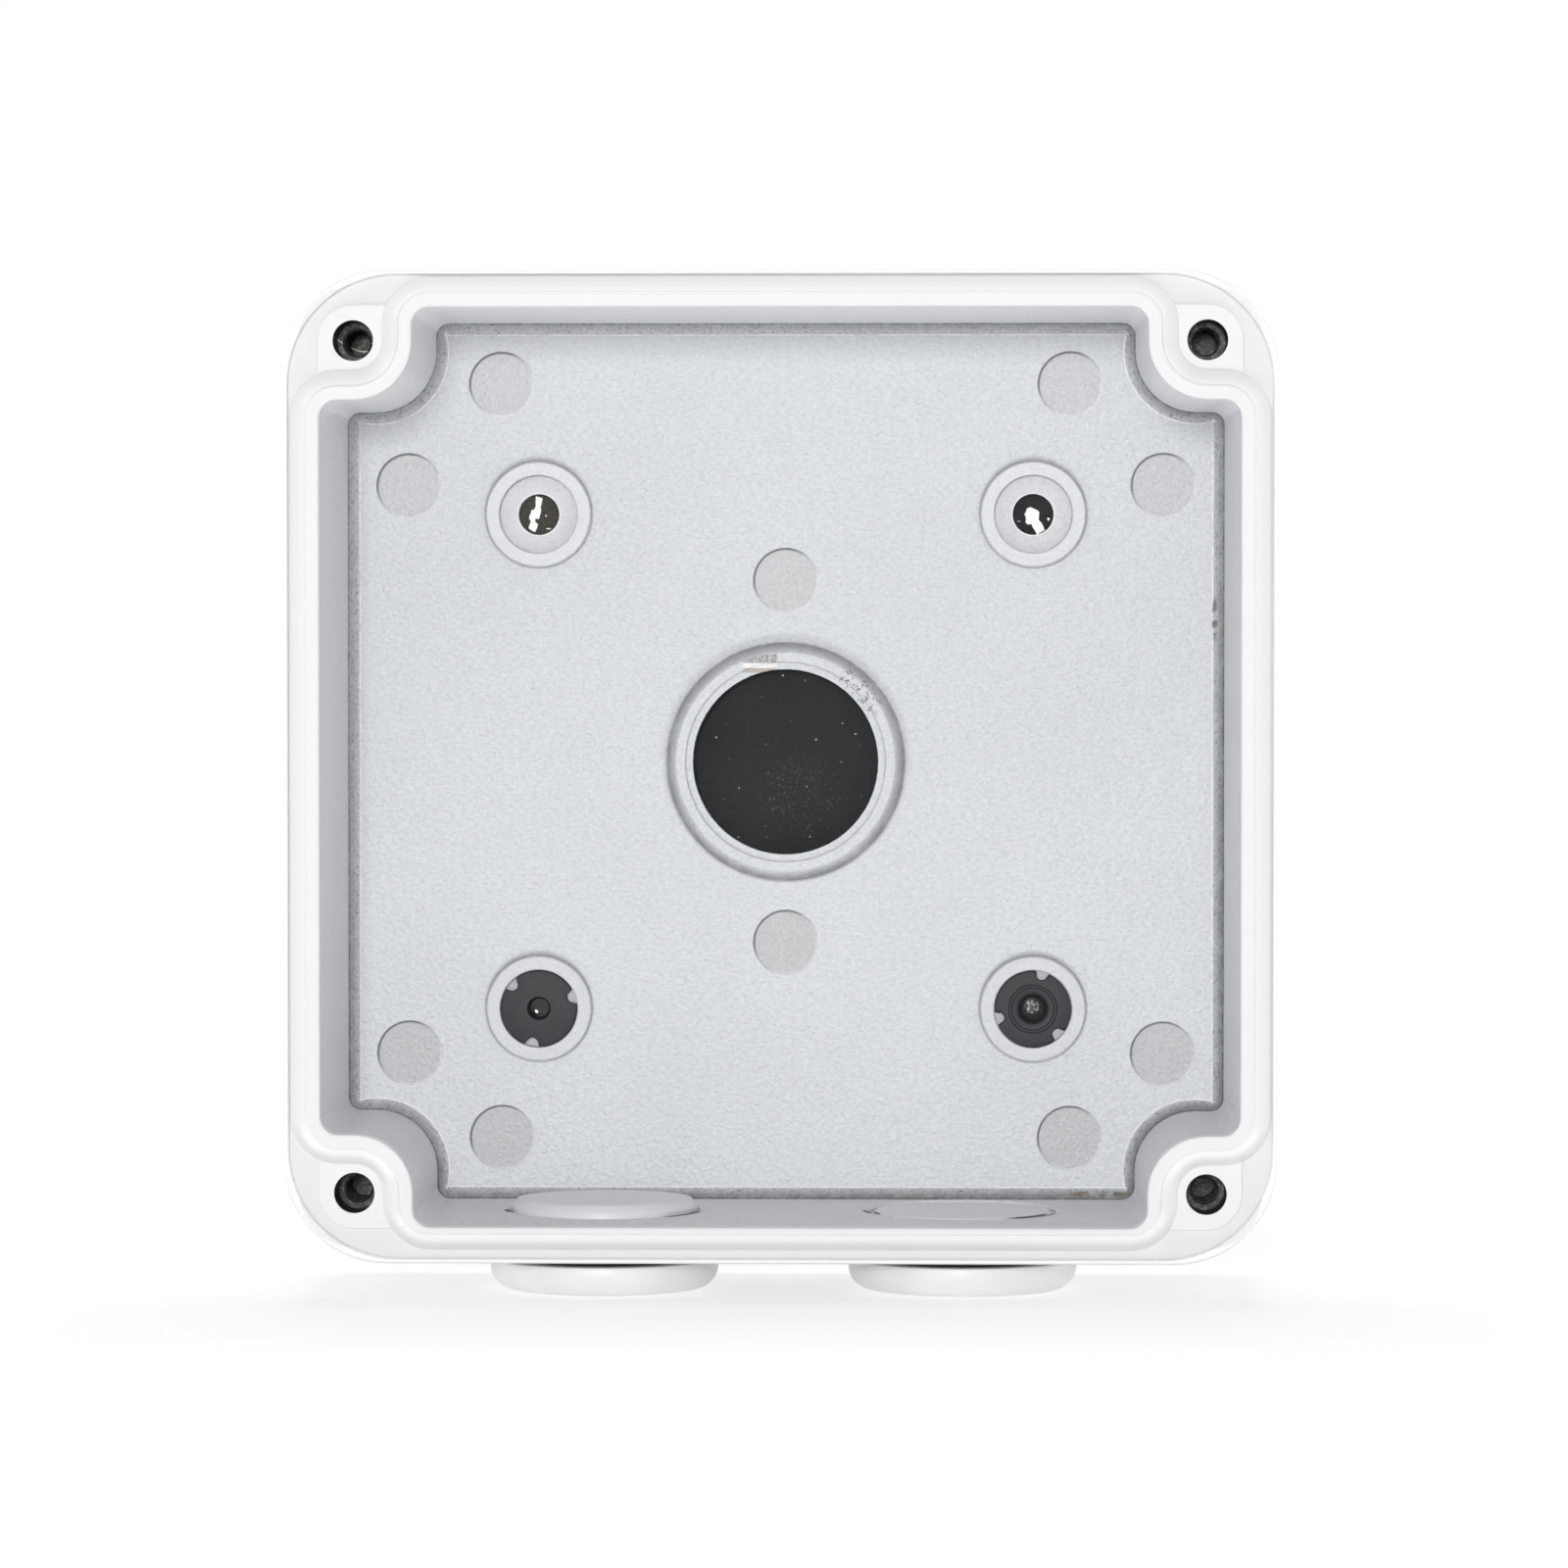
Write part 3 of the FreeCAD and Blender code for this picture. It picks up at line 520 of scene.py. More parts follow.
def inside_coat_and_shading(tree, place, settings):
    """The cavity's coat: cloudy, with painted light on the upper wall, which makes it lighter than the
    others, and painted shade that darkens the walls towards the floor and the floor towards the top.
    """
    point, depth, normal = (place.outputs[name] for name in ("Point", "Depth", "Normal"))
    cloud = fade(tree, grain(tree, point, 26.0, 3.0), 0.35, 0.65)
    shade = blend(tree, cloud, settings.shaded_inside_colour, shaded(settings.shaded_inside_colour, 0.975))
    on_floor = facing(tree, normal, (0, -1, 0))
    shade = blend(tree, on_floor, settings.wall_colour, shade)
    # Painted light on the upper wall, which faces down, and painted shade on the lower one
    upper = times(tree, facing(tree, normal, (0, 0, -1)), 0.15)
    lower = times(tree, facing(tree, normal, (0, 0, 1)), -0.05)
    light = count(tree, "ADD", 1.0, count(tree, "ADD", upper, lower))
    # Painted shade: walls darker towards the floor; painted light and shade: the floor lighter at the
    # bottom and darker at the top
    wall = fade(tree, depth, 8.0, 44.0, 0.93, 1.05)
    stretched = vector(tree, "MULTIPLY", point, (0.6, 1, 1.3))
    uneven = fade(tree, grain(tree, stretched, 0.5, 1.5), 0.3, 0.7, 0.945, 1.055)
    height = axes(tree, point)[2]
    level = fade(tree, height, -62.0, 62.0, 1.07, 0.95)
    return scaled(tree, shade, times(tree, light, uneven, fade(tree, on_floor, 0, 1, wall, level)))


def inside_mask(tree, place, post):
    """1 on the surfaces of the cavity, 0 on the rim and outside."""
    side, depth = place.outputs["Side"], place.outputs["Depth"]
    within = fade_out(tree, side, CAVITY_HALF, CAVITY_HALF + 0.15)
    clear = fade(tree, post, POST_RADIUS - 0.15, POST_RADIUS)
    low_wall = facing(tree, place.outputs["Normal"], (0, 0, 1))
    edge = fade(tree, low_wall, 0, 1, RIM_LEVEL - 0.15, RIM_LEVEL - 2.5)
    below = fade_out(tree, depth, count(tree, "SUBTRACT", edge, 1.2), edge)
    return times(tree, within, clear, below)


def mark_masks(tree, place):
    """How far a point is from the nearest ejector mark's middle, and how far up and left of it."""
    point = place.outputs["Point"]
    nearest, lean = 99.0, 0.0
    marks = (
        (EJECTOR_NEAR, EJECTOR_FAR, 0.0),
        (EJECTOR_FAR, EJECTOR_NEAR, EJECTOR_DROP),
        (0.0, EJECTOR_MIDDLE, 0.0),
    )
    for across, along, drop in marks:
        raised = vector(tree, "ADD", point, (0, 0, drop))
        folded = vector(tree, "ABSOLUTE", raised)
        flat = vector(tree, "MULTIPLY", folded, (1, 0, 1))
        offset = vector(tree, "SUBTRACT", flat, (across, 0, along))
        signs = vector(tree, "SIGN", raised)
        real = vector(tree, "MULTIPLY", offset, signs)
        toward = vector(tree, "DOT_PRODUCT", real, (-0.14, 0, 0.17))
        away = vector(tree, "LENGTH", offset)
        nearest = count(tree, "MINIMUM", nearest, away)
        lean = count(tree, "ADD", lean, times(tree, toward, fade_out(tree, away, 5.0, 5.5)))
    return nearest, lean


def patch(tree, point, centre, reach):
    """A soft round or long patch about a centre, with its own reach along each axis."""
    moved = vector(tree, "SUBTRACT", point, centre)
    share = vector(tree, "MULTIPLY", moved, tuple(1 / size for size in reach))
    away = vector(tree, "LENGTH", share)
    return fade_out(tree, away, 0.6, 1.0)


def coating_material(settings):
    """White powder coat: bright on the rim, greyer inside as painted shade, with bare marks, dirt, and
    painted light and shade.
    """
    material, tree, shader, place = new_material("powder_coated_casting")
    point, folded, side, depth, radius, normal = place.outputs
    post = distance_to(tree, folded, (SCREW_PLACE, 0, SCREW_PLACE))
    boss = distance_to(tree, folded, (BOSS_PLACE, 0, BOSS_PLACE))
    mark, lean_up = mark_masks(tree, place)
    inside = inside_mask(tree, place, post)
    floor_zone = fade_out(tree, depth, 8.0, 9.5)
    rim = rim_coat_and_shading(tree, place, post, settings.rim_colour)
    colour = blend(tree, inside, rim, inside_coat_and_shading(tree, place, settings))

    # Ejector marks: thinly coated, with a silvery speckle
    in_mark = times(tree, fade_out(tree, mark, 4.5, 4.56), band(tree, depth, 4.6, 4.78, 0.02))
    sparkle = grain(tree, point, 0.32, 2.0, 0.7)
    silver = blend(tree, fade(tree, sparkle, 0.3, 0.7), tone(197, 196, 199), tone(209, 208, 210))
    colour = blend(tree, in_mark, colour, silver)
    # Painted shade on the rims' upper left sides and a painted highlight on their lower right sides
    mark_rim = times(tree, band(tree, mark, 4.4, 4.72, 0.08), floor_zone)
    shaded_side = times(tree, mark_rim, fade(tree, lean_up, 0.0, 0.7))
    colour = blend(tree, shaded_side, colour, tone(128, 128, 132))
    lit_side = times(tree, mark_rim, fade_out(tree, lean_up, -0.7, 0.0))
    colour = blend(tree, lit_side, colour, tone(244, 244, 246))

    # The bosses' rings are lighter, and painted shade darkens the wells in them
    ring = times(tree, fade_out(tree, boss, 7.35, 7.5), floor_zone)
    colour = blend(tree, ring, colour, tone(222, 223, 226))
    well = times(tree, fade_out(tree, boss, 5.5, 5.6), floor_zone)
    colour = scaled(tree, colour, fade(tree, well, 0, 1, 1.0, 0.93))
    # A painted highlight round the edge of each screw hole
    hole_edge = times(tree, band(tree, boss, 2.9, 3.12, 0.06), floor_zone)
    colour = blend(tree, hole_edge, colour, tone(246, 246, 247))
    # Painted shadows above the bosses and the collar
    lowered = vector(tree, "ADD", point, (0, 0, -0.65))
    lowered = vector(tree, "MULTIPLY", lowered, (1, 0, 1))
    lowered = vector(tree, "ABSOLUTE", lowered)
    over_boss = fade(tree, distance_to(tree, lowered, (BOSS_PLACE, 0, BOSS_PLACE)), 7.2, 8.0, 0.7, 0.0)
    over_boss = times(tree, over_boss, fade(tree, boss, 7.5, 7.7))
    over_collar = fade(tree, distance_to(tree, lowered, (0, 0, 0)), 17.0, 18.2, 0.4, 0.0)
    over_collar = times(tree, over_collar, fade(tree, radius, 17.3, 17.5))
    painted_shadow = times(tree, most(tree, (over_boss, over_collar)), floor_zone)
    colour = blend(tree, painted_shadow, colour, tone(160, 163, 168))

    # Bare machined metal in the screw holes, with dust, painted dark as shade deep in the holes
    bore = times(tree, fade_out(tree, post, 2.83, 2.85), fade_out(tree, depth, 42.9, 43.2))
    dusty = grain(tree, point, 0.5, 4.0, 0.7)
    dark = blend(tree, fade(tree, dusty, 0.45, 0.7), tone(44, 44, 41), tone(92, 92, 90))
    colour = blend(tree, bore, colour, dark)
    # A thin light arc in the upper left screw hole
    flattened = vector(tree, "MULTIPLY", point, (1, 0, 1))
    curve = distance_to(tree, flattened, (-SCREW_PLACE, 0, SCREW_PLACE + 2.97))
    in_hole = patch(tree, flattened, (-SCREW_PLACE, 0, SCREW_PLACE), (5, 1, 5))
    light_arc = times(tree, band(tree, curve, 3.6, 3.76, 0.05), in_hole, bore)
    colour = blend(tree, times(tree, light_arc, 0.7), colour, tone(176, 174, 168))

    # Painted shade along the feet of walls and round the bosses, collar and marks, mixed with dirt, most of
    # it low and to the right
    streaks = grain(tree, point, 3.0, 4.0, 0.7)
    wall_foot = most(tree, (fade(tree, side, 61.2, 61.4), fade_out(tree, post, 10.1, 10.3)))
    wall_foot = times(tree, wall_foot, fade_out(tree, depth, 6.2, 7.0))
    lean = vector(tree, "DOT_PRODUCT", point, (0.6, 0, -0.8))
    slope_up = fade(tree, depth, 5.0, 6.0, 0.45, 1.0)
    foot = times(tree, wall_foot, slope_up, fade(tree, lean, -70.0, 60.0, 0.55, 1.0))
    shaded_rings = most(
        tree,
        (
            times(tree, band(tree, mark, 4.5, 4.72, 0.1), 0.3),
            times(tree, band(tree, boss, 7.45, 7.85, 0.1), 0.45),
            times(tree, band(tree, boss, 5.5, 5.7, 0.1), 0.5),
            times(tree, band(tree, radius, 15.9, 17.3, 0.3), fade(tree, radius, 15.8, 17.0, 0.35, 0.95)),
            times(tree, band(tree, radius, 14.2, 14.45, 0.1), 0.4),
        ),
    )
    shaded_rings = times(tree, shaded_rings, floor_zone)
    grime_and_shade = times(tree, most(tree, (foot, shaded_rings)), inside, fade(tree, streaks, 0.3, 0.6, 0.75, 1.0))
    grime_and_shade_colour = blend(tree, fade(tree, radius, 20, 30), tone(147, 147, 154), tone(134, 137, 136))
    colour = blend(tree, grime_and_shade, colour, grime_and_shade_colour)
    low_right = fade(tree, lean, -60, 60, 0.7, 1.0)
    # Painted shade in the crease at the foot of the walls, patchy, partly dirt
    foot_crease = times(tree, wall_foot, inside, band(tree, depth, 6.15, 6.55, 0.12), low_right)
    crease_patches = fade(tree, grain(tree, point, 0.9, 4.0, 0.7), 0.4, 0.6, 0.35, 1.0)
    colour = blend(tree, times(tree, foot_crease, crease_patches), colour, tone(76, 76, 76))
    pits = fade(tree, grain(tree, point, 0.5, 3.0, 0.7), 0.5, 0.65, 0.0, 0.5)
    pits = times(tree, wall_foot, inside, pits)
    colour = blend(tree, pits, colour, tone(100, 101, 103))
    # A painted highlight along the floor's edge, broken in places
    floor_edge = most(tree, (band(tree, side, 61.15, 61.3, 0.1), band(tree, post, 10.2, 10.38, 0.1)))
    highlight_breaks = fade(tree, streaks, 0.4, 0.55, 0.35, 1.0)
    floor_edge = times(tree, floor_edge, fade_out(tree, depth, 5.3, 5.5), highlight_breaks, inside)
    colour = blend(tree, floor_edge, colour, tone(248, 248, 249))

    # Specks in the foot, brown dirt in its lower right part, and scratches on the collar
    specks = speckled(tree, point, 0.8, 0.3)
    specks = times(tree, specks, wall_foot, inside, fade(tree, lean, -20, 60))
    colour = blend(tree, specks, colour, tone(92, 89, 86))
    dirt = most(
        tree,
        (
            patch(tree, point, (45.0, -5.9, -62.0), (5.5, 1.0, 0.8)),
            patch(tree, point, (17.6, -6.0, -62.2), (1.0, 2.0, 0.7)),
            patch(tree, point, (61.5, -6.0, 20.5), (0.5, 3.0, 4.0)),
        ),
    )
    colour = blend(tree, times(tree, dirt, fade(tree, streaks, 0.42, 0.52)), colour, tone(126, 112, 100))
    chips = speckled(tree, point, 0.6, 0.6)
    scuff = patch(tree, point, (10.9, -7.0, 10.5), (4.6, 3.0, 4.6))
    scuff = times(tree, scuff, band(tree, radius, 13.8, 16.4, 0.4), chips)
    colour = blend(tree, scuff, colour, tone(116, 119, 132))
    across, _, height = axes(tree, point)
    thread_start = times(tree, band(tree, across, -6.1, -1.2, 0.25), band(tree, height, 12.8, 15.5, 0.2))
    thread_start = times(tree, thread_start, fade_out(tree, radius, 15.6, 15.8), floor_zone)
    hatch = fade(tree, grain(tree, point, 0.35, 2.0), 0.4, 0.6)
    scratched = blend(tree, hatch, tone(140, 139, 141), tone(196, 195, 194))
    scratched = blend(tree, fade_out(tree, height, 14.1, 14.3), scratched, tone(241, 240, 238))
    scratched = blend(tree, fade_out(tree, height, 13.4, 13.5), scratched, tone(184, 177, 166))
    colour = blend(tree, thread_start, colour, scratched)

    # Painted shade in the thin gaps between the plugs' ends and the wall
    inlet = distance_to(tree, across_inlets(tree, point), (INLET_PLACE, INLET_LEVEL, 0))
    gap = times(tree, band(tree, inlet, 13.2, 14.2, 0.1), open_stretches(tree, point))
    gap = times(tree, gap, facing(tree, normal, (0, 0, 1)))
    colour = blend(tree, gap, colour, tone(60, 62, 66))

    tree.links.new(colour, shader.inputs["Base Color"])
    rough = count(tree, "ADD", settings.roughness, times(tree, streaks, 0.12))
    tree.links.new(rough, shader.inputs["Roughness"])
    tree.links.new(times(tree, bore, 0.6), shader.inputs["Metallic"])
    size = settings.texture_size / MM
    peel = peel_height(tree, point, size)
    height = times(tree, peel, fade(tree, inside, 0, 1, 0.05, 1.0))
    relief(tree, shader, height, strength=1.0, distance=0.27 * MM, edge=0.14 * MM)
    return material


def open_stretches(tree, point):
    """1 along the parts of the plugs' edges that stand off the wall."""
    masks = []
    for side, across, along, reach in OPEN_STRETCHES:
        centre = (side * INLET_PLACE + across, -INLET_LEVEL - along, INLET_END)
        masks.append(patch(tree, point, centre, (reach, reach, 2.0)))
    return most(tree, masks)


def across_inlets(tree, point):
    """A point seen along the inlets' axes, with both inlets laid over each other."""
    mirrored = vector(tree, "ABSOLUTE", point)
    return vector(tree, "MULTIPLY", mirrored, (1, 1, 0))


def plastic_material(settings):
    """White moulded plastic of the plugs, greyer as painted shade where it ends inside the box, with
    painted shade in the gaps at the wall.
    """
    material, tree, shader, place = new_material("white_moulded_plastic", Roughness=0.4)
    point = place.outputs["Point"]
    cloud = grain(tree, point, 9.0, 3.0)
    colour = blend(tree, fade(tree, cloud, 0.3, 0.7), settings.colour, shaded(settings.colour, 0.95))
    height = axes(tree, point)[2]
    # Painted shade: the ends inside the box are greyer
    colour = blend(tree, fade(tree, height, -66.4, -65.4), colour, settings.shaded_end_colour)
    # Painted shade in the gaps between the plugs and the wall
    gap = times(tree, band(tree, height, -63.7, -63.14, 0.04), open_stretches(tree, point))
    colour = blend(tree, gap, colour, tone(60, 62, 66))
    tree.links.new(colour, shader.inputs["Base Color"])
    peel = peel_height(tree, point, 0.5)
    relief(tree, shader, peel, strength=0.3, distance=0.02 * MM, edge=0.2 * MM)
    return material


def rubber_material(settings):
    """Dull black rubber with a little dust, and a painted glint in the right seal's hollow."""
    material, tree, shader, place = new_material("dull_rubber", Roughness=0.62)
    point = place.outputs["Point"]
    cloud = grain(tree, point, 2.5, 3.0)
    darker = shaded(settings.rubber_colour, 0.8)
    colour = blend(tree, fade(tree, cloud, 0.3, 0.7), settings.rubber_colour, darker)
    dust = speckled(tree, point, 0.35, 0.1)
    colour = blend(tree, count(tree, "MULTIPLY", dust, 0.5), colour, tone(150, 150, 150))
    # A painted glint, mottled light and dark, in the right seal's hollow
    hollow = patch(tree, point, (BOSS_PLACE - 0.2, -4.0, -BOSS_PLACE + 0.4), (1.4, 0.6, 1.4))
    mottle = grain(tree, point, 0.45, 2.0, 0.6)
    glint = blend(tree, fade(tree, mottle, 0.45, 0.68), tone(72, 72, 70), tone(222, 222, 219))
    colour = blend(tree, hollow, colour, glint)
    tree.links.new(colour, shader.inputs["Base Color"])
    peel = peel_height(tree, point, 0.4)
    relief(tree, shader, peel, strength=0.4, distance=0.03 * MM)
    return material


def foam_material(settings):
    """Black closed-cell foam with fine pores and settled dust."""
    material, tree, shader, place = new_material("dusty_foam", Roughness=0.92)
    point = place.outputs["Point"]
    cells = put(tree, "ShaderNodeTexVoronoi", {"Vector": point, "Scale": 2.6}, feature="F1")
    cells = cells.outputs["Distance"]
    pores = fade(tree, cells, 0.1, 0.5)
    colour = blend(tree, pores, shaded(settings.foam_colour, 0.7), settings.foam_colour)
    colour = scaled(tree, colour, fade(tree, grain(tree, point, 14.0, 3.0), 0.3, 0.7, 0.88, 1.1))
    front = facing(tree, place.outputs["Normal"], (0, -1, 0))
    across, _, height = axes(tree, point)
    flat = put(tree, "ShaderNodeCombineXYZ", {0: across, 1: height}).outputs[0]
    spots = put(tree, "ShaderNodeTexVoronoi", {"Vector": flat, "Scale": 0.2}, voronoi_dimensions="2D")
    lit = put(tree, "ShaderNodeSeparateColor", {0: spots.outputs["Color"]}).outputs[0]
    dust = fade(tree, spots.outputs["Distance"], 0.015, 0.035, fade(tree, lit, 0.3, 1.0, 0.1, 0.9), 0.0)
    colour = blend(tree, times(tree, dust, front), colour, tone(196, 204, 200))
    brown = patch(tree, point, (-BOSS_PLACE, 0, BOSS_PLACE), (6.0, 9.0, 6.0))
    brown = times(tree, brown, fade(tree, cells, 0.1, 0.6, 0.3, 0.8))
    colour = blend(tree, times(tree, brown, front), colour, tone(84, 80, 73))
    film = speckled(tree, point, 0.35, 0.45)
    dusty = times(tree, film, patch(tree, point, (2.5, 0, -5.0), (8.0, 9.0, 7.0)), 0.35)
    colour = blend(tree, times(tree, dusty, front), colour, tone(120, 124, 126))
    tree.links.new(colour, shader.inputs["Base Color"])
    relief(tree, shader, pores, strength=0.5, distance=0.08 * MM)
    return material


def thread_metal_material():
    """Bare cut aluminium of the threads, dulled by dust."""
    material, tree, shader, place = new_material("cut_thread_metal", Metallic=0.7)
    point = place.outputs["Point"]
    smudge = grain(tree, point, 0.7, 4.0, 0.7)
    colour = blend(tree, fade(tree, smudge, 0.4, 0.7), tone(64, 64, 60), tone(120, 120, 116))
    tree.links.new(colour, shader.inputs["Base Color"])
    tree.links.new(fade(tree, smudge, 0.3, 0.7, 0.35, 0.65), shader.inputs["Roughness"])
    relief(tree, shader, smudge, strength=0.4, distance=0.03 * MM)
    return material


# Making meshes


def to_metres(maker):
    """Turn a bmesh in millimetres to metres, with its faces outward."""
    bmesh.ops.scale(maker, vec=(MM, MM, MM), verts=maker.verts)
    bmesh.ops.recalc_face_normals(maker, faces=maker.faces)


def mesh_object(name, maker):
    """An object in the scene from a bmesh, which is used up."""
    mesh = bpy.data.meshes.new(name)
    maker.to_mesh(mesh)
    maker.free()
    item = bpy.data.objects.new(name, mesh)
    bpy.context.scene.collection.objects.link(item)
    return item


def place_piece(name, maker, material, body, sharp=32.0):
    """A new piece from a bmesh in millimetres, smooth but for its sharp edges."""
    limit = math.radians(sharp)
    to_metres(maker)
    for face in maker.faces:
        face.smooth = True
    for edge in maker.edges:
        if len(edge.link_faces) == 2 and edge.calc_face_angle() > limit:
            edge.smooth = False
    piece = mesh_object(name, maker)
    piece.data.materials.append(material)
    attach(piece, body)
    return piece


def join_rings(maker, lower, upper, closed=True):
    """Faces between two rings of points that exist, each with as many points."""
    total = len(lower)
    for index in range(total if closed else total - 1):
        following = (index + 1) % total
        maker.faces.new((lower[index], lower[following], upper[following], upper[index]))


def skin_rows(maker, rows, closed=True):
    """Points in rings, and faces between neighbouring rings."""
    rings = [[maker.verts.new(point) for point in row] for row in rows]
    for lower, upper in zip(rings, rings[1:]):
        join_rings(maker, lower, upper, closed)
    return rings


def cap_ring(maker, ring, centre):
    """A fan of faces that closes a ring."""
    middle = maker.verts.new(centre)
    for index, point in enumerate(ring):
        maker.faces.new((point, ring[(index + 1) % len(ring)], middle))


def ring_angles(total):
    """Evenly spaced angles round a full turn."""
    return [2 * math.pi * index / total for index in range(total)]


def set_material(node, material):
    """A better finish on a CAD node that keeps its shape."""
    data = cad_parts[node].data
    data.materials.clear()
    data.materials.append(material)


def look(name, maker, *settings):
    """A material by name, made when it is first asked for."""
    return bpy.data.materials.get(name) or maker(*settings)


# The pieces, one operator for each group of like pieces


class DressCasting(bpy.types.Operator):
    """Give the casting its textured white coat"""

    bl_idname = "junction_box.dress_casting"
    bl_label = "Coat the casting"

    def execute(self, context):
        set_material("box_body", coating_material(context.scene.junction_coating))
        return {"FINISHED"}


def torn_outline(corners, centre, seed):
    """The corners of a tear with small ragged points between them."""
    chance = random.Random(seed)
    points = []
    for index, start in enumerate(corners):
        end = corners[(index + 1) % len(corners)]
        run = Vector(end) - Vector(start)
        across = Vector((-run.y, run.x)).normalized()
        parts = max(1, round(run.length / 0.28))
        for part in range(parts):
            shift = chance.uniform(-0.07, 0.07) if part else 0.0
            points.append(Vector(centre) + Vector(start) + run * part / parts + across * shift)
    return points


def pad_outline(half, corner, steps=14, parts=24):
    """Points round a square with round corners, close enough to bend."""
    points = []
    for quarter in range(4):
        turn = math.pi / 2 * quarter
        for step in range(steps):
            angle = math.pi / 2 * step / steps
            across = half - corner + corner * math.cos(angle)
            along = half - corner + corner * math.sin(angle)
            points.append(Vector((across, along)))
            points[-1].rotate(Matrix.Rotation(turn, 2))
        for part in range(parts):
            across = (half - corner) * (1 - 2 * part / parts)
            points.append(Vector((across, half)))
            points[-1].rotate(Matrix.Rotation(turn, 2))
    return points


def flat_sheet(outline, holes, spacing, chance):
    """A plane mesh of points and triangles inside an outline and round its holes."""
    points = [point.copy() for point in outline]
    loops = [list(range(len(points)))]
    for hole in holes:
        loops.append(list(range(len(points), len(points) + len(hole))))
        points += [point.copy() for point in hole]
    reach = max(point.x for point in outline)
    total = int(2 * reach / spacing)
    for row in range(total):
        for column in range(total):
            across = -reach + spacing * (column + 0.5 + 0.5 * (row % 2))
            inner = Vector((across, -reach + spacing * (row + 0.5)))
            inner += Vector((chance.uniform(-0.2, 0.2), chance.uniform(-0.2, 0.2))) * spacing
            if max(abs(inner.x), abs(inner.y)) < reach - 0.8:
                points.append(inner)
    edges = [(loop[i], loop[(i + 1) % len(loop)]) for loop in loops for i in range(len(loop))]
    made, _, faces, originals, _, _ = delaunay_2d_cdt(points, edges, [loops[0]], 1, 1e-5)
    keep = []
    for face in faces:
        middle = sum((made[i] for i in face), Vector((0, 0))) / len(face)
        if not any(point_inside(middle, hole) for hole in holes):
            keep.append(face)
    ends = {}
    for index, sources in enumerate(originals):
        for source in sources:
            ends[source] = index
    return made, keep, [[ends[i] for i in loop] for loop in loops]


def point_inside(point, loop):
    """True where a point lies within a closed loop."""
    inside = False
    for index, start in enumerate(loop):
        end = loop[(index + 1) % len(loop)]
        if (start.y > point.y) != (end.y > point.y):
            if point.x < start.x + (end.x - start.x) * (point.y - start.y) / (end.y - start.y):
                inside = not inside
    return inside


def tear_wall(maker, loop, made, sheets, thickness):
    """The ragged wall through one tear, from the rear sheet to the front one."""
    previous = [sheets[0][i] for i in loop]
    for share in (0.3, 0.65):
        row = []
        for x, y in (made[i] for i in loop):
            aside = noise.noise((x * 3, y * 3, share * 9))
            up = noise.noise((y * 3, x * 3, share * 5))
            shift = Vector((aside, up)) * 0.07
            row.append(maker.verts.new((x + shift.x, -thickness * share, y + shift.y)))
        join_rings(maker, previous, row)
        previous = row
    join_rings(maker, previous, [sheets[1][i] for i in loop])


def foam_sheet(maker, made, faces, level, sign):
    """One uneven face of the pad."""
    verts = []
    for x, y in made:
        wave = noise.noise((x * 0.07, y * 0.07, level)) * 0.05
        fine = noise.noise((x * 0.4, y * 0.4, level + 9)) * 0.03
        verts.append(maker.verts.new((x, -(level - sign * abs(wave + fine)), y)))
    for face in faces:
        maker.faces.new([verts[i] for i in face])
    return verts


class MakeFoamPad(bpy.types.Operator):
    """Make the torn foam pad behind the box"""

    bl_idname = "junction_box.make_foam_pad"
    bl_label = "Make the foam pad"

    def execute(self, context):
        settings = context.scene.junction_soft
        low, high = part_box("wall_pad")
        half = high.x / MM
        thickness = (high.y - low.y) / MM
        chance = random.Random(7)
        holes = [
            torn_outline(LEFT_TEAR, (-BOSS_PLACE, BOSS_PLACE), 3),
            torn_outline(RIGHT_TEAR, (BOSS_PLACE, BOSS_PLACE), 5),
        ]
        for across, along, half_width, half_height in SMALL_HOLES:
            hole = []
            for angle in ring_angles(12):
                reach = half_width * math.cos(angle) * chance.uniform(0.85, 1.1)
                hole.append(Vector((across + reach, along + half_height * math.sin(angle))))
            holes.append(hole)
        inset = PAD_EDGE[0][0]
        rim = pad_outline(half - inset, PAD_CORNER - inset)
        made, faces, loops = flat_sheet(rim, holes, settings.foam_grain / MM, chance)
        maker = bmesh.new()
        sheets = [
            foam_sheet(maker, made, faces, 0.0, -1),
            foam_sheet(maker, made, faces, thickness, 1),
        ]
        # The rounded outer edge, from the rear face round to the front one
        steps = list(PAD_EDGE[1:])
        steps += [(inset, thickness - level) for inset, level in reversed(PAD_EDGE[1:])]
        rows = []
        for inset, level in steps:
            outline = pad_outline(half - inset, PAD_CORNER - inset)
            rows.append([(point.x, -level, point.y) for point in outline])
        rings = skin_rows(maker, rows)
        for sheet, ring in ((sheets[0], rings[0]), (sheets[1], rings[-1])):
            join_rings(maker, [sheet[i] for i in loops[0]], ring)
        for loop in loops[1:]:
            tear_wall(maker, loop, made, sheets, thickness)
        material = look("dusty_foam", foam_material, settings)
        pad = place_piece("torn_foam_pad", maker, material, "box", 50.0)
        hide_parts("wall_pad")
        return {"FINISHED"}


def upright(centre, radius, angle, height):
    """A point round an upright axis."""
    return (centre[0] + radius * math.cos(angle), centre[1] + radius * math.sin(angle), centre[2] + height)


def forward(centre, radius, angle, height):
    """A point round an axis that points out of the box's open front."""
    return (centre[0] + radius * math.cos(angle), centre[1] - height, centre[2] + radius * math.sin(angle))


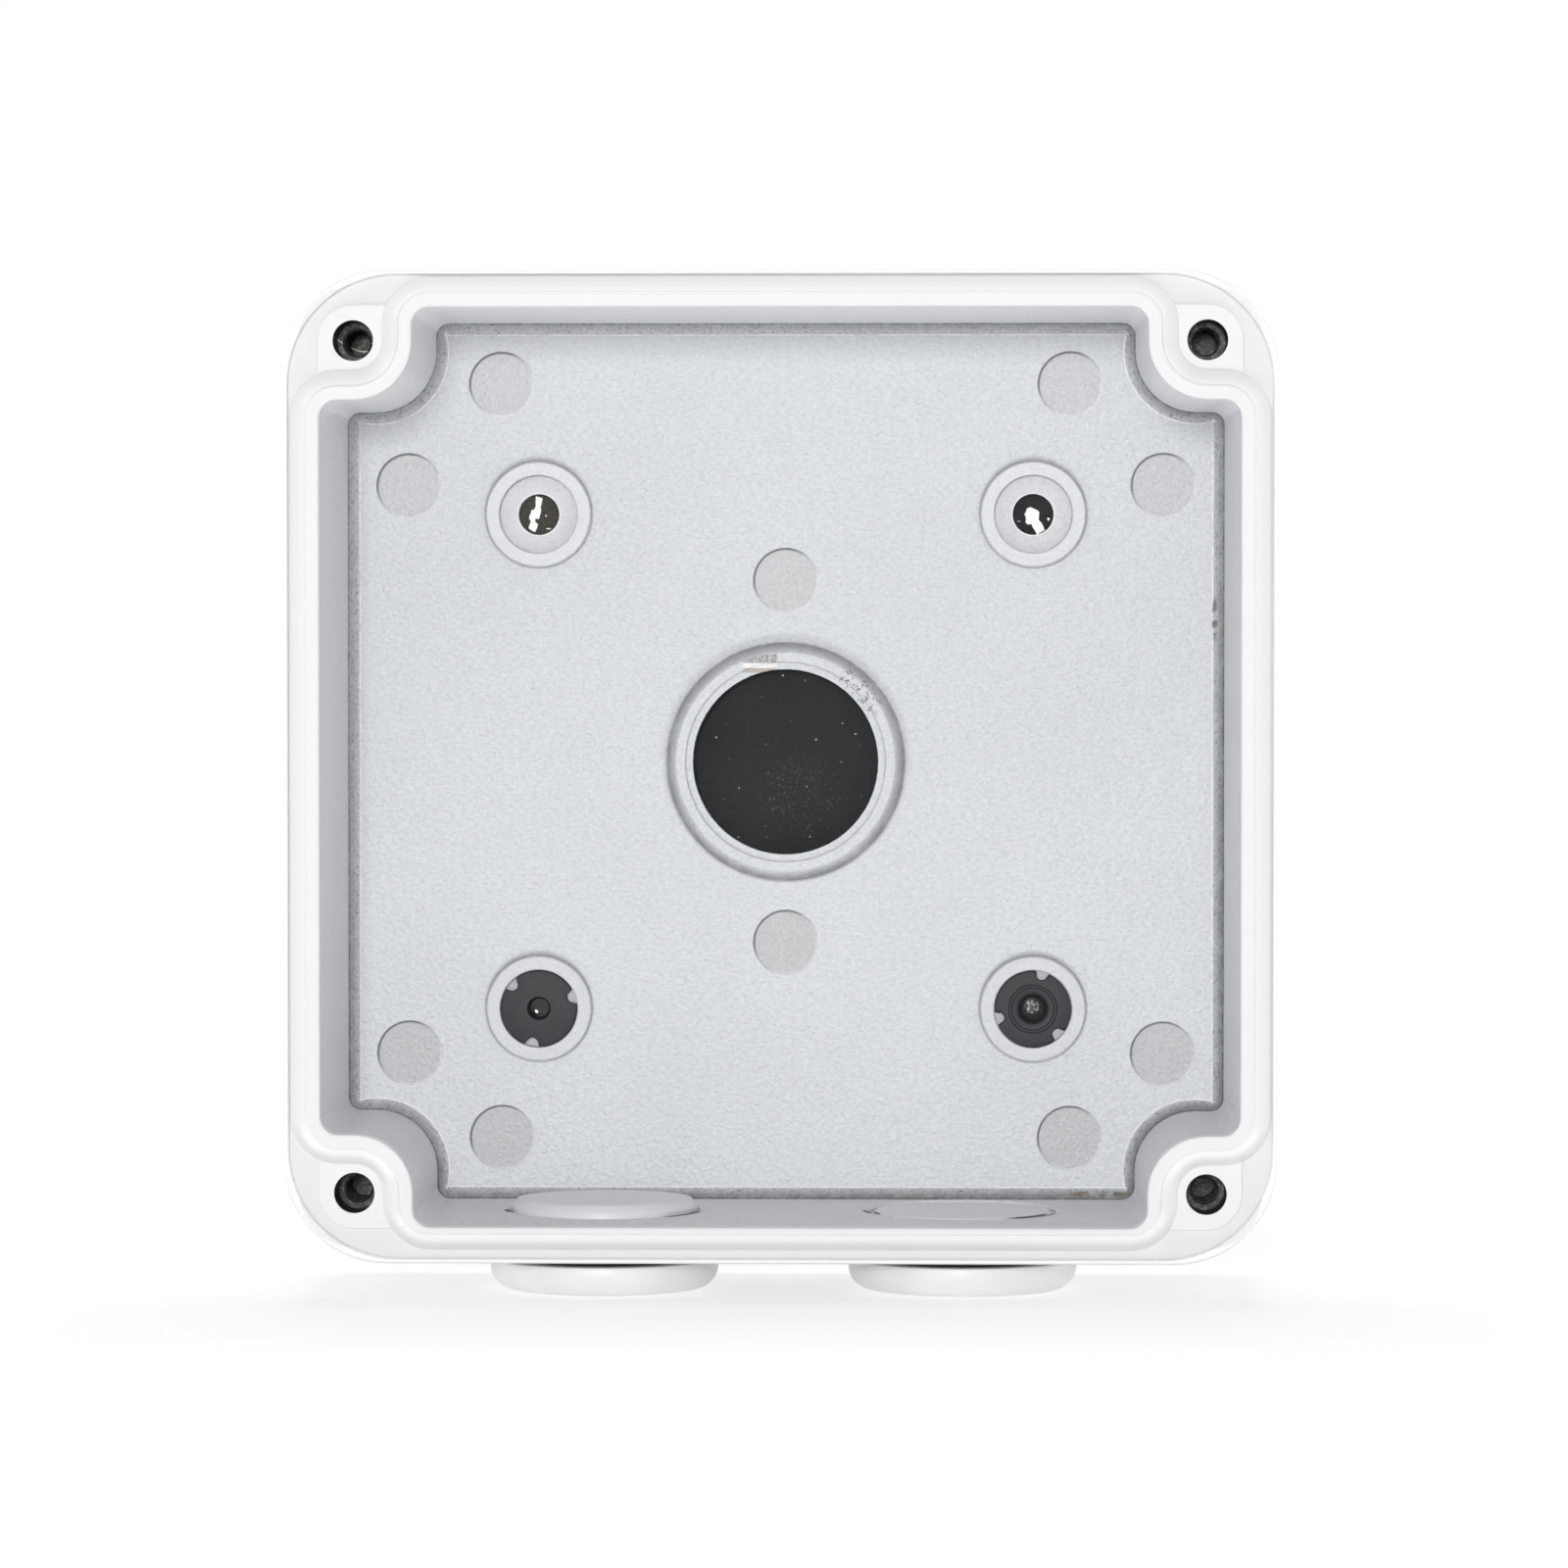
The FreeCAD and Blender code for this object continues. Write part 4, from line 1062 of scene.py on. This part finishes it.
def notched_radius(angle, inset, notches):
    """How far a seal's rim reaches at an angle, where a notch may cut into it."""
    reach = SEAL_RIM - inset
    for notch in notches:
        turn = angle - math.radians(notch)
        turn = math.atan2(math.sin(turn), math.cos(turn))
        across = NOTCH_PLACE * math.sin(turn)
        if abs(turn) < 1 and abs(across) < NOTCH_RADIUS + inset:
            chord = math.sqrt((NOTCH_RADIUS + inset) ** 2 - across**2)
            reach = min(reach, NOTCH_PLACE * math.cos(turn) - chord)
    return reach


class MakeScrewSeals(bpy.types.Operator):
    """Make the two notched rubber seals in the lower screw seats"""

    bl_idname = "junction_box.make_screw_seals"
    bl_label = "Make the screw seals"

    def execute(self, context):
        material = look("dull_rubber", rubber_material, context.scene.junction_soft)
        angles = ring_angles(144)
        for side, sign, notches in (("left", -1, (139, 19, -101)), ("right", 1, (75, 195, -45))):
            maker = bmesh.new()
            centre = (sign * BOSS_PLACE, -HEAD_SEAT_LEVEL, -BOSS_PLACE)
            rows = []
            for radius, height in reversed(SEAL_MIDDLES[side]):
                shift = PINHOLE_SHIFT if side == "left" and radius < 0.6 else (0.0, 0.0)
                middle = (centre[0] + shift[0], centre[1], centre[2] + shift[1])
                rows.append([forward(middle, radius, a, height) for a in angles])
            for inset, height in SEAL_EDGE:
                rows.append([forward(centre, notched_radius(a, inset, notches), a, height) for a in angles])
            for radius, height in ((2.8, 0.0), (2.8, -1.75), (2.65, -1.9), (1.2, -1.9)):
                rows.append([forward(centre, radius, a, height) for a in angles])
            if side == "left":
                rings = skin_rows(maker, rows[:-1])
                join_rings(maker, rings[-1], rings[0])
            else:
                rings = skin_rows(maker, rows)
                cap_ring(maker, rings[0], (centre[0], centre[1] + 0.37, centre[2]))
                cap_ring(maker, rings[-1], (centre[0], centre[1] + 1.9, centre[2]))
            seal = place_piece("notched_seal_" + side, maker, material, "box")
            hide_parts("screw_seal_" + side)
        return {"FINISHED"}


class MakeWashers(bpy.types.Operator):
    """Make the squeezed rubber washers under the plug heads"""

    bl_idname = "junction_box.make_washers"
    bl_label = "Make the washers"

    def execute(self, context):
        material = look("dull_rubber", rubber_material, context.scene.junction_soft)
        for side, sign in (("left", -1), ("right", 1)):
            low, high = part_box("plug_washer_" + side)
            thick = (high.z - low.z) / MM
            outer = (high.x - low.x) / MM / 2
            centre = (sign * INLET_PLACE, -INLET_LEVEL, high.z / MM)
            inner = 13.28
            profile = [
                (inner, -0.15), (inner + 0.12, 0.0), (outer - 0.55, 0.0), (outer - 0.18, -0.12),
                (outer, -0.5), (outer, -thick + 0.5), (outer - 0.18, -thick + 0.12),
                (outer - 0.55, -thick), (inner + 0.12, -thick), (inner, -thick + 0.15),
            ]
            maker = bmesh.new()
            rows = [[upright(centre, r, a, z) for a in ring_angles(128)] for r, z in profile]
            rings = skin_rows(maker, rows)
            join_rings(maker, rings[-1], rings[0])
            name, body = "squeezed_washer_" + side, side + "_washer"
            washer = place_piece(name, maker, material, body)
            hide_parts("plug_washer_" + side)
        return {"FINISHED"}


def clamped(share):
    """A number kept between 0 and 1."""
    return min(1.0, max(0.0, share))


def thread_cut(share):
    """How deep a 60 degree thread is cut, from 0 at its crest to 1 at its root."""
    rise = abs(share - 0.5) * 2
    return 1 - clamped((rise - 0.12) / 0.76)


class MakeInletPlugs(bpy.types.Operator):
    """Make the two threaded plugs, with coin slots in their heads"""

    bl_idname = "junction_box.make_inlet_plugs"
    bl_label = "Make the inlet plugs"

    def execute(self, context):
        settings = context.scene.junction_plugs
        material = look("white_moulded_plastic", plastic_material, settings)
        pitch, depth = settings.thread_pitch / MM, settings.thread_depth / MM
        crest, head, head_height, head_round = 13.22, 16.1, 4.2, 3.0
        angles = ring_angles(144)
        for side, sign in (("left", -1), ("right", 1)):
            low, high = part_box("inlet_plug_" + side)
            centre = (sign * INLET_PLACE, -INLET_LEVEL, 0.0)
            bottom, top = low.z / MM, high.z / MM
            underside = bottom + head_height
            maker = bmesh.new()
            rows = []
            for angle in range(90, 0, -12):
                turn = math.radians(angle)
                inset, rise = head_round * (1 - math.cos(turn)), head_round * (1 - math.sin(turn))
                rows.append((head - inset, bottom + rise))
            rows += [(head, bottom + 3.15), (head, underside - 0.35), (head - 0.1, underside - 0.1)]
            rows += [(head - 0.35, underside), (15.0, underside), (crest - depth - 0.1, underside)]
            rows.append((crest - depth, underside + 0.12))
            points = [[upright(centre, radius, a, level) for a in angles] for radius, level in rows]
            step = pitch / 8
            start, end = underside + 0.3, top - 2.4
            levels = [start + step * index for index in range(int((end - start) / step) + 1)]
            for level in levels:
                ring = []
                for angle in angles:
                    share = (level / pitch - angle / (2 * math.pi)) % 1.0
                    cut = thread_cut(share) * depth
                    runout = clamped((level - start) / pitch)
                    fill = clamped((level - end + pitch / 2) / (pitch / 2))
                    radius = crest - depth + (depth - cut) * runout
                    radius += (crest - radius) * fill
                    ring.append(upright(centre, radius, angle, level))
                points.append(ring)
            for inset, fall in ((0.0, 1.1), (0.15, 0.85), (0.8, 0.12), (0.95, 0.0)):
                radius, level = crest - inset, top - fall
                points.append([upright(centre, radius, a, level) for a in angles])
            rings = skin_rows(maker, points)
            cap_ring(maker, rings[-1], (centre[0], centre[1], top))
            cap_ring(maker, rings[0], (centre[0], centre[1], bottom))
            plug = place_piece("threaded_plug_" + side, maker, material, side + "_plug")
            cut_coin_slot(plug, centre, bottom)
            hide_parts("inlet_plug_" + side)
        return {"FINISHED"}


def cut_coin_slot(plug, centre, bottom):
    """Cut the coin slot into the head's face."""
    maker = bmesh.new()
    length, width, depth = 9.5, 1.3, 2.0
    rows = []
    for wider, level in ((0.12, -0.5), (0.12, 0.0), (0.0, 0.15), (0.0, depth - 0.15), (-0.15, depth)):
        half_width = width + wider
        reach = half_width * 0.6
        ring = []
        for quarter, (across, along) in enumerate(((1, 1), (-1, 1), (-1, -1), (1, -1))):
            for corner in range(5):
                turn = math.pi / 2 * (quarter + corner / 4)
                x = centre[0] + across * (length - reach) + reach * math.cos(turn)
                y = centre[1] + along * (half_width - reach) + reach * math.sin(turn)
                ring.append((x, y, bottom + level))
        rows.append(ring)
    rings = skin_rows(maker, rows)
    maker.faces.new(rings[0])
    maker.faces.new(rings[-1])
    to_metres(maker)
    cutter = mesh_object("slot_cutter", maker)
    bpy.context.view_layer.update()
    change = plug.modifiers.new("slot", "BOOLEAN")
    change.operation, change.object, change.solver = "DIFFERENCE", cutter, "EXACT"
    bpy.context.view_layer.update()
    graph = bpy.context.evaluated_depsgraph_get()
    cut = bpy.data.meshes.new_from_object(plug.evaluated_get(graph))
    plug.modifiers.clear()
    plug.data = cut
    bpy.data.objects.remove(cutter)


class MakeThreads(bpy.types.Operator):
    """Make the cut threads in the cover screw holes and the cable hole"""

    bl_idname = "junction_box.make_threads"
    bl_label = "Make the cut threads"

    def execute(self, context):
        material = look("cut_thread_metal", thread_metal_material)
        entry = SEAT_LEVEL - SCREW_ENTRY_DEPTH
        for index, (across, along) in enumerate(((-1, 1), (1, 1), (-1, -1), (1, -1))):
            centre = (across * SCREW_PLACE, 0.0, along * SCREW_PLACE)
            maker = bmesh.new()
            add_ridge(maker, centre, SCREW_THREAD_RADIUS - 0.005, SCREW_THREAD, entry - 8.0, entry - 0.1)
            place_piece("cover_screw_thread_%d" % (index + 1), maker, material, "box")
        maker = bmesh.new()
        start, end = PAD_LEVEL + 0.3, COLLAR_LEVEL - 0.75
        add_ridge(maker, (0.0, 0.0, 0.0), REAR_HOLE_RADIUS - 0.01, PIPE_THREAD, start, end)
        place_piece("cable_hole_thread", maker, material, "box")
        return {"FINISHED"}


def add_ridge(maker, centre, radius, form, start, end):
    """A thread's ridge that winds round inside a hole, and runs out at both ends."""
    height, pitch, total = form
    turns = (end - start - pitch * 0.6) / pitch
    steps = int(turns * total)
    rows = []
    for step in range(steps + 1):
        angle = 2 * math.pi * step / total
        level = start + pitch * 0.3 + pitch * step / total
        share = min(1.0, min(step, steps - step) / (total / 6))
        rise = height * share
        foot = pitch * 0.3 * (0.3 + 0.7 * share)
        row = []
        for reach, lift in ((0.0, -foot), (rise, -foot * 0.25), (rise, foot * 0.25), (0.0, foot)):
            point = forward(centre, radius - reach, angle, 0)
            row.append((point[0], -(level + lift), point[2]))
        rows.append(row)
    rings = skin_rows(maker, rows)
    maker.faces.new(rings[0])
    maker.faces.new(rings[-1])


class MakeStage(bpy.types.Operator):
    """Set up the floor, the lamps, the camera and the view"""

    bl_idname = "junction_box.make_stage"
    bl_label = "Set the stage"

    def execute(self, context):
        settings = context.scene.junction_stage
        make_floor(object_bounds()[0].z, settings.floor_glow)
        make_world(settings.world_strength)
        aim = Vector((0, -RIM_LEVEL * MM, 0))
        low_aim = Vector((0, -0.02, -0.07))
        make_lamp("front_lamp", Vector((-0.1, -2.5, 0.25)), aim, 0.4, settings.front_power)
        make_lamp("top_lamp", Vector((0.0, 0.25, 1.1)), aim, 0.6, settings.top_power)
        make_lamp("left_lamp", Vector((-1.2, 0.5, 0.1)), low_aim, 0.5, settings.side_power)
        make_lamp("right_lamp", Vector((1.2, 0.5, 0.1)), low_aim, 0.5, settings.side_power)
        make_camera(settings)
        context.scene.view_settings.view_transform = "Standard"
        return {"FINISHED"}


def seen_plainly(tree):
    """1 where the camera sees a surface, straight or in something shiny or clear."""
    path = put(tree, "ShaderNodeLightPath").outputs
    return most(tree, [path[ray] for ray in ("Is Camera Ray", "Is Glossy Ray", "Is Transmission Ray")])


def make_floor(level, soft_glow):
    """A pale level floor, which keeps only a light shadow of the box."""
    maker = bmesh.new()
    reach = 6.0
    rows = [[(across, along, level) for across in (-reach, 0.0, reach)] for along in (-reach, 0.0, reach)]
    skin_rows(maker, rows, closed=False)
    material = bpy.data.materials.new("pale_floor")
    material.use_nodes = True
    tree = material.node_tree
    shader = tree.nodes["Principled BSDF"]
    seen = seen_plainly(tree)
    tree.links.new(blend(tree, seen, (0.85, 0.85, 0.85), (0.5, 0.5, 0.5)), shader.inputs["Base Color"])
    shader.inputs["Roughness"].default_value = 0.9
    shader.inputs["Specular IOR Level"].default_value = 0.0
    shader.inputs["Emission Color"].default_value = (1, 1, 1, 1)
    place = put(tree, "ShaderNodeTexCoord").outputs["Object"]
    away = vector(tree, "LENGTH", place)
    inputs = {"Value": seen, "To Min": soft_glow, "To Max": fade(tree, away, 0.15, 0.4, 0.62, 0.87)}
    glow = put(tree, "ShaderNodeMapRange", inputs).outputs["Result"]
    tree.links.new(glow, shader.inputs["Emission Strength"])
    # Clear from below, so that the box's underside can be seen
    below = put(tree, "ShaderNodeNewGeometry").outputs["Backfacing"]
    clear = put(tree, "ShaderNodeBsdfTransparent").outputs["BSDF"]
    inputs = {0: below, 1: shader.outputs["BSDF"], 2: clear}
    surface = put(tree, "ShaderNodeMixShader", inputs).outputs["Shader"]
    tree.links.new(surface, tree.nodes["Material Output"].inputs["Surface"])
    floor = mesh_object("floor", maker)
    floor.data.materials.append(material)
    floor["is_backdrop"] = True


def make_world(strength):
    """Even light from all round, and plain white where the camera sees it."""
    world = bpy.data.worlds.new("soft_surroundings")
    bpy.context.scene.world = world
    world.use_nodes = True
    tree = world.node_tree
    background = tree.nodes["Background"]
    background.inputs["Color"].default_value = (1, 1, 1, 1)
    inputs = {"Value": seen_plainly(tree), "To Min": strength, "To Max": 1.0}
    level = put(tree, "ShaderNodeMapRange", inputs)
    tree.links.new(level.outputs["Result"], background.inputs["Strength"])


def make_lamp(name, place, aim, size, power):
    """A square soft lamp that faces a point."""
    lamp = bpy.data.lights.new(name, "AREA")
    lamp.shape, lamp.size, lamp.energy = "SQUARE", size, power
    holder = bpy.data.objects.new(name, lamp)
    holder.location = place
    holder.rotation_euler = (aim - place).to_track_quat("-Z", "Y").to_euler()
    holder.visible_camera = False
    bpy.context.scene.collection.objects.link(holder)


def make_camera(settings):
    """The photograph's camera: a little right of the box and above its middle."""
    data = bpy.data.cameras.new("camera")
    data.lens, data.sensor_width = settings.focal_length, SENSOR_WIDTH
    data.clip_start, data.clip_end = 0.01, 20.0
    holder = bpy.data.objects.new("camera", data)
    holder.location = (0.0198, -RIM_LEVEL * MM - settings.distance, 0.0197)
    target = Vector((0.00063, -RIM_LEVEL * MM, -0.0022))
    holder.rotation_euler = (target - holder.location).to_track_quat("-Z", "Y").to_euler()
    bpy.context.scene.collection.objects.link(holder)
    bpy.context.scene.camera = holder


OPERATORS = (DressCasting, MakeFoamPad, MakeScrewSeals, MakeWashers, MakeInletPlugs, MakeThreads, MakeStage)


class JunctionBoxPanel(bpy.types.Panel):
    """Lists the pieces and their sizes and colours."""

    bl_idname = "VIEW3D_PT_junction_box"
    bl_label = "Junction Box"
    bl_space_type = "VIEW_3D"
    bl_region_type = "UI"
    bl_category = "Junction Box"

    def draw(self, context):
        for operator in OPERATORS:
            self.layout.operator(operator.bl_idname)
        for attribute, group in SETTINGS.items():
            settings = getattr(context.scene, attribute)
            for name in group.__annotations__:
                self.layout.prop(settings, name)


CLASSES = (*SETTINGS.values(), *OPERATORS, JunctionBoxPanel)


def register():
    for item in CLASSES:
        bpy.utils.register_class(item)
    for attribute, group in SETTINGS.items():
        setattr(bpy.types.Scene, attribute, PointerProperty(type=group))


def unregister():
    for attribute in SETTINGS:
        delattr(bpy.types.Scene, attribute)
    for item in reversed(CLASSES):
        bpy.utils.unregister_class(item)


def main():
    """Make every piece in order."""
    register()
    for operator in OPERATORS:
        group, call = operator.bl_idname.split(".")
        getattr(getattr(bpy.ops, group), call)()


if __name__ == "__main__":
    main()
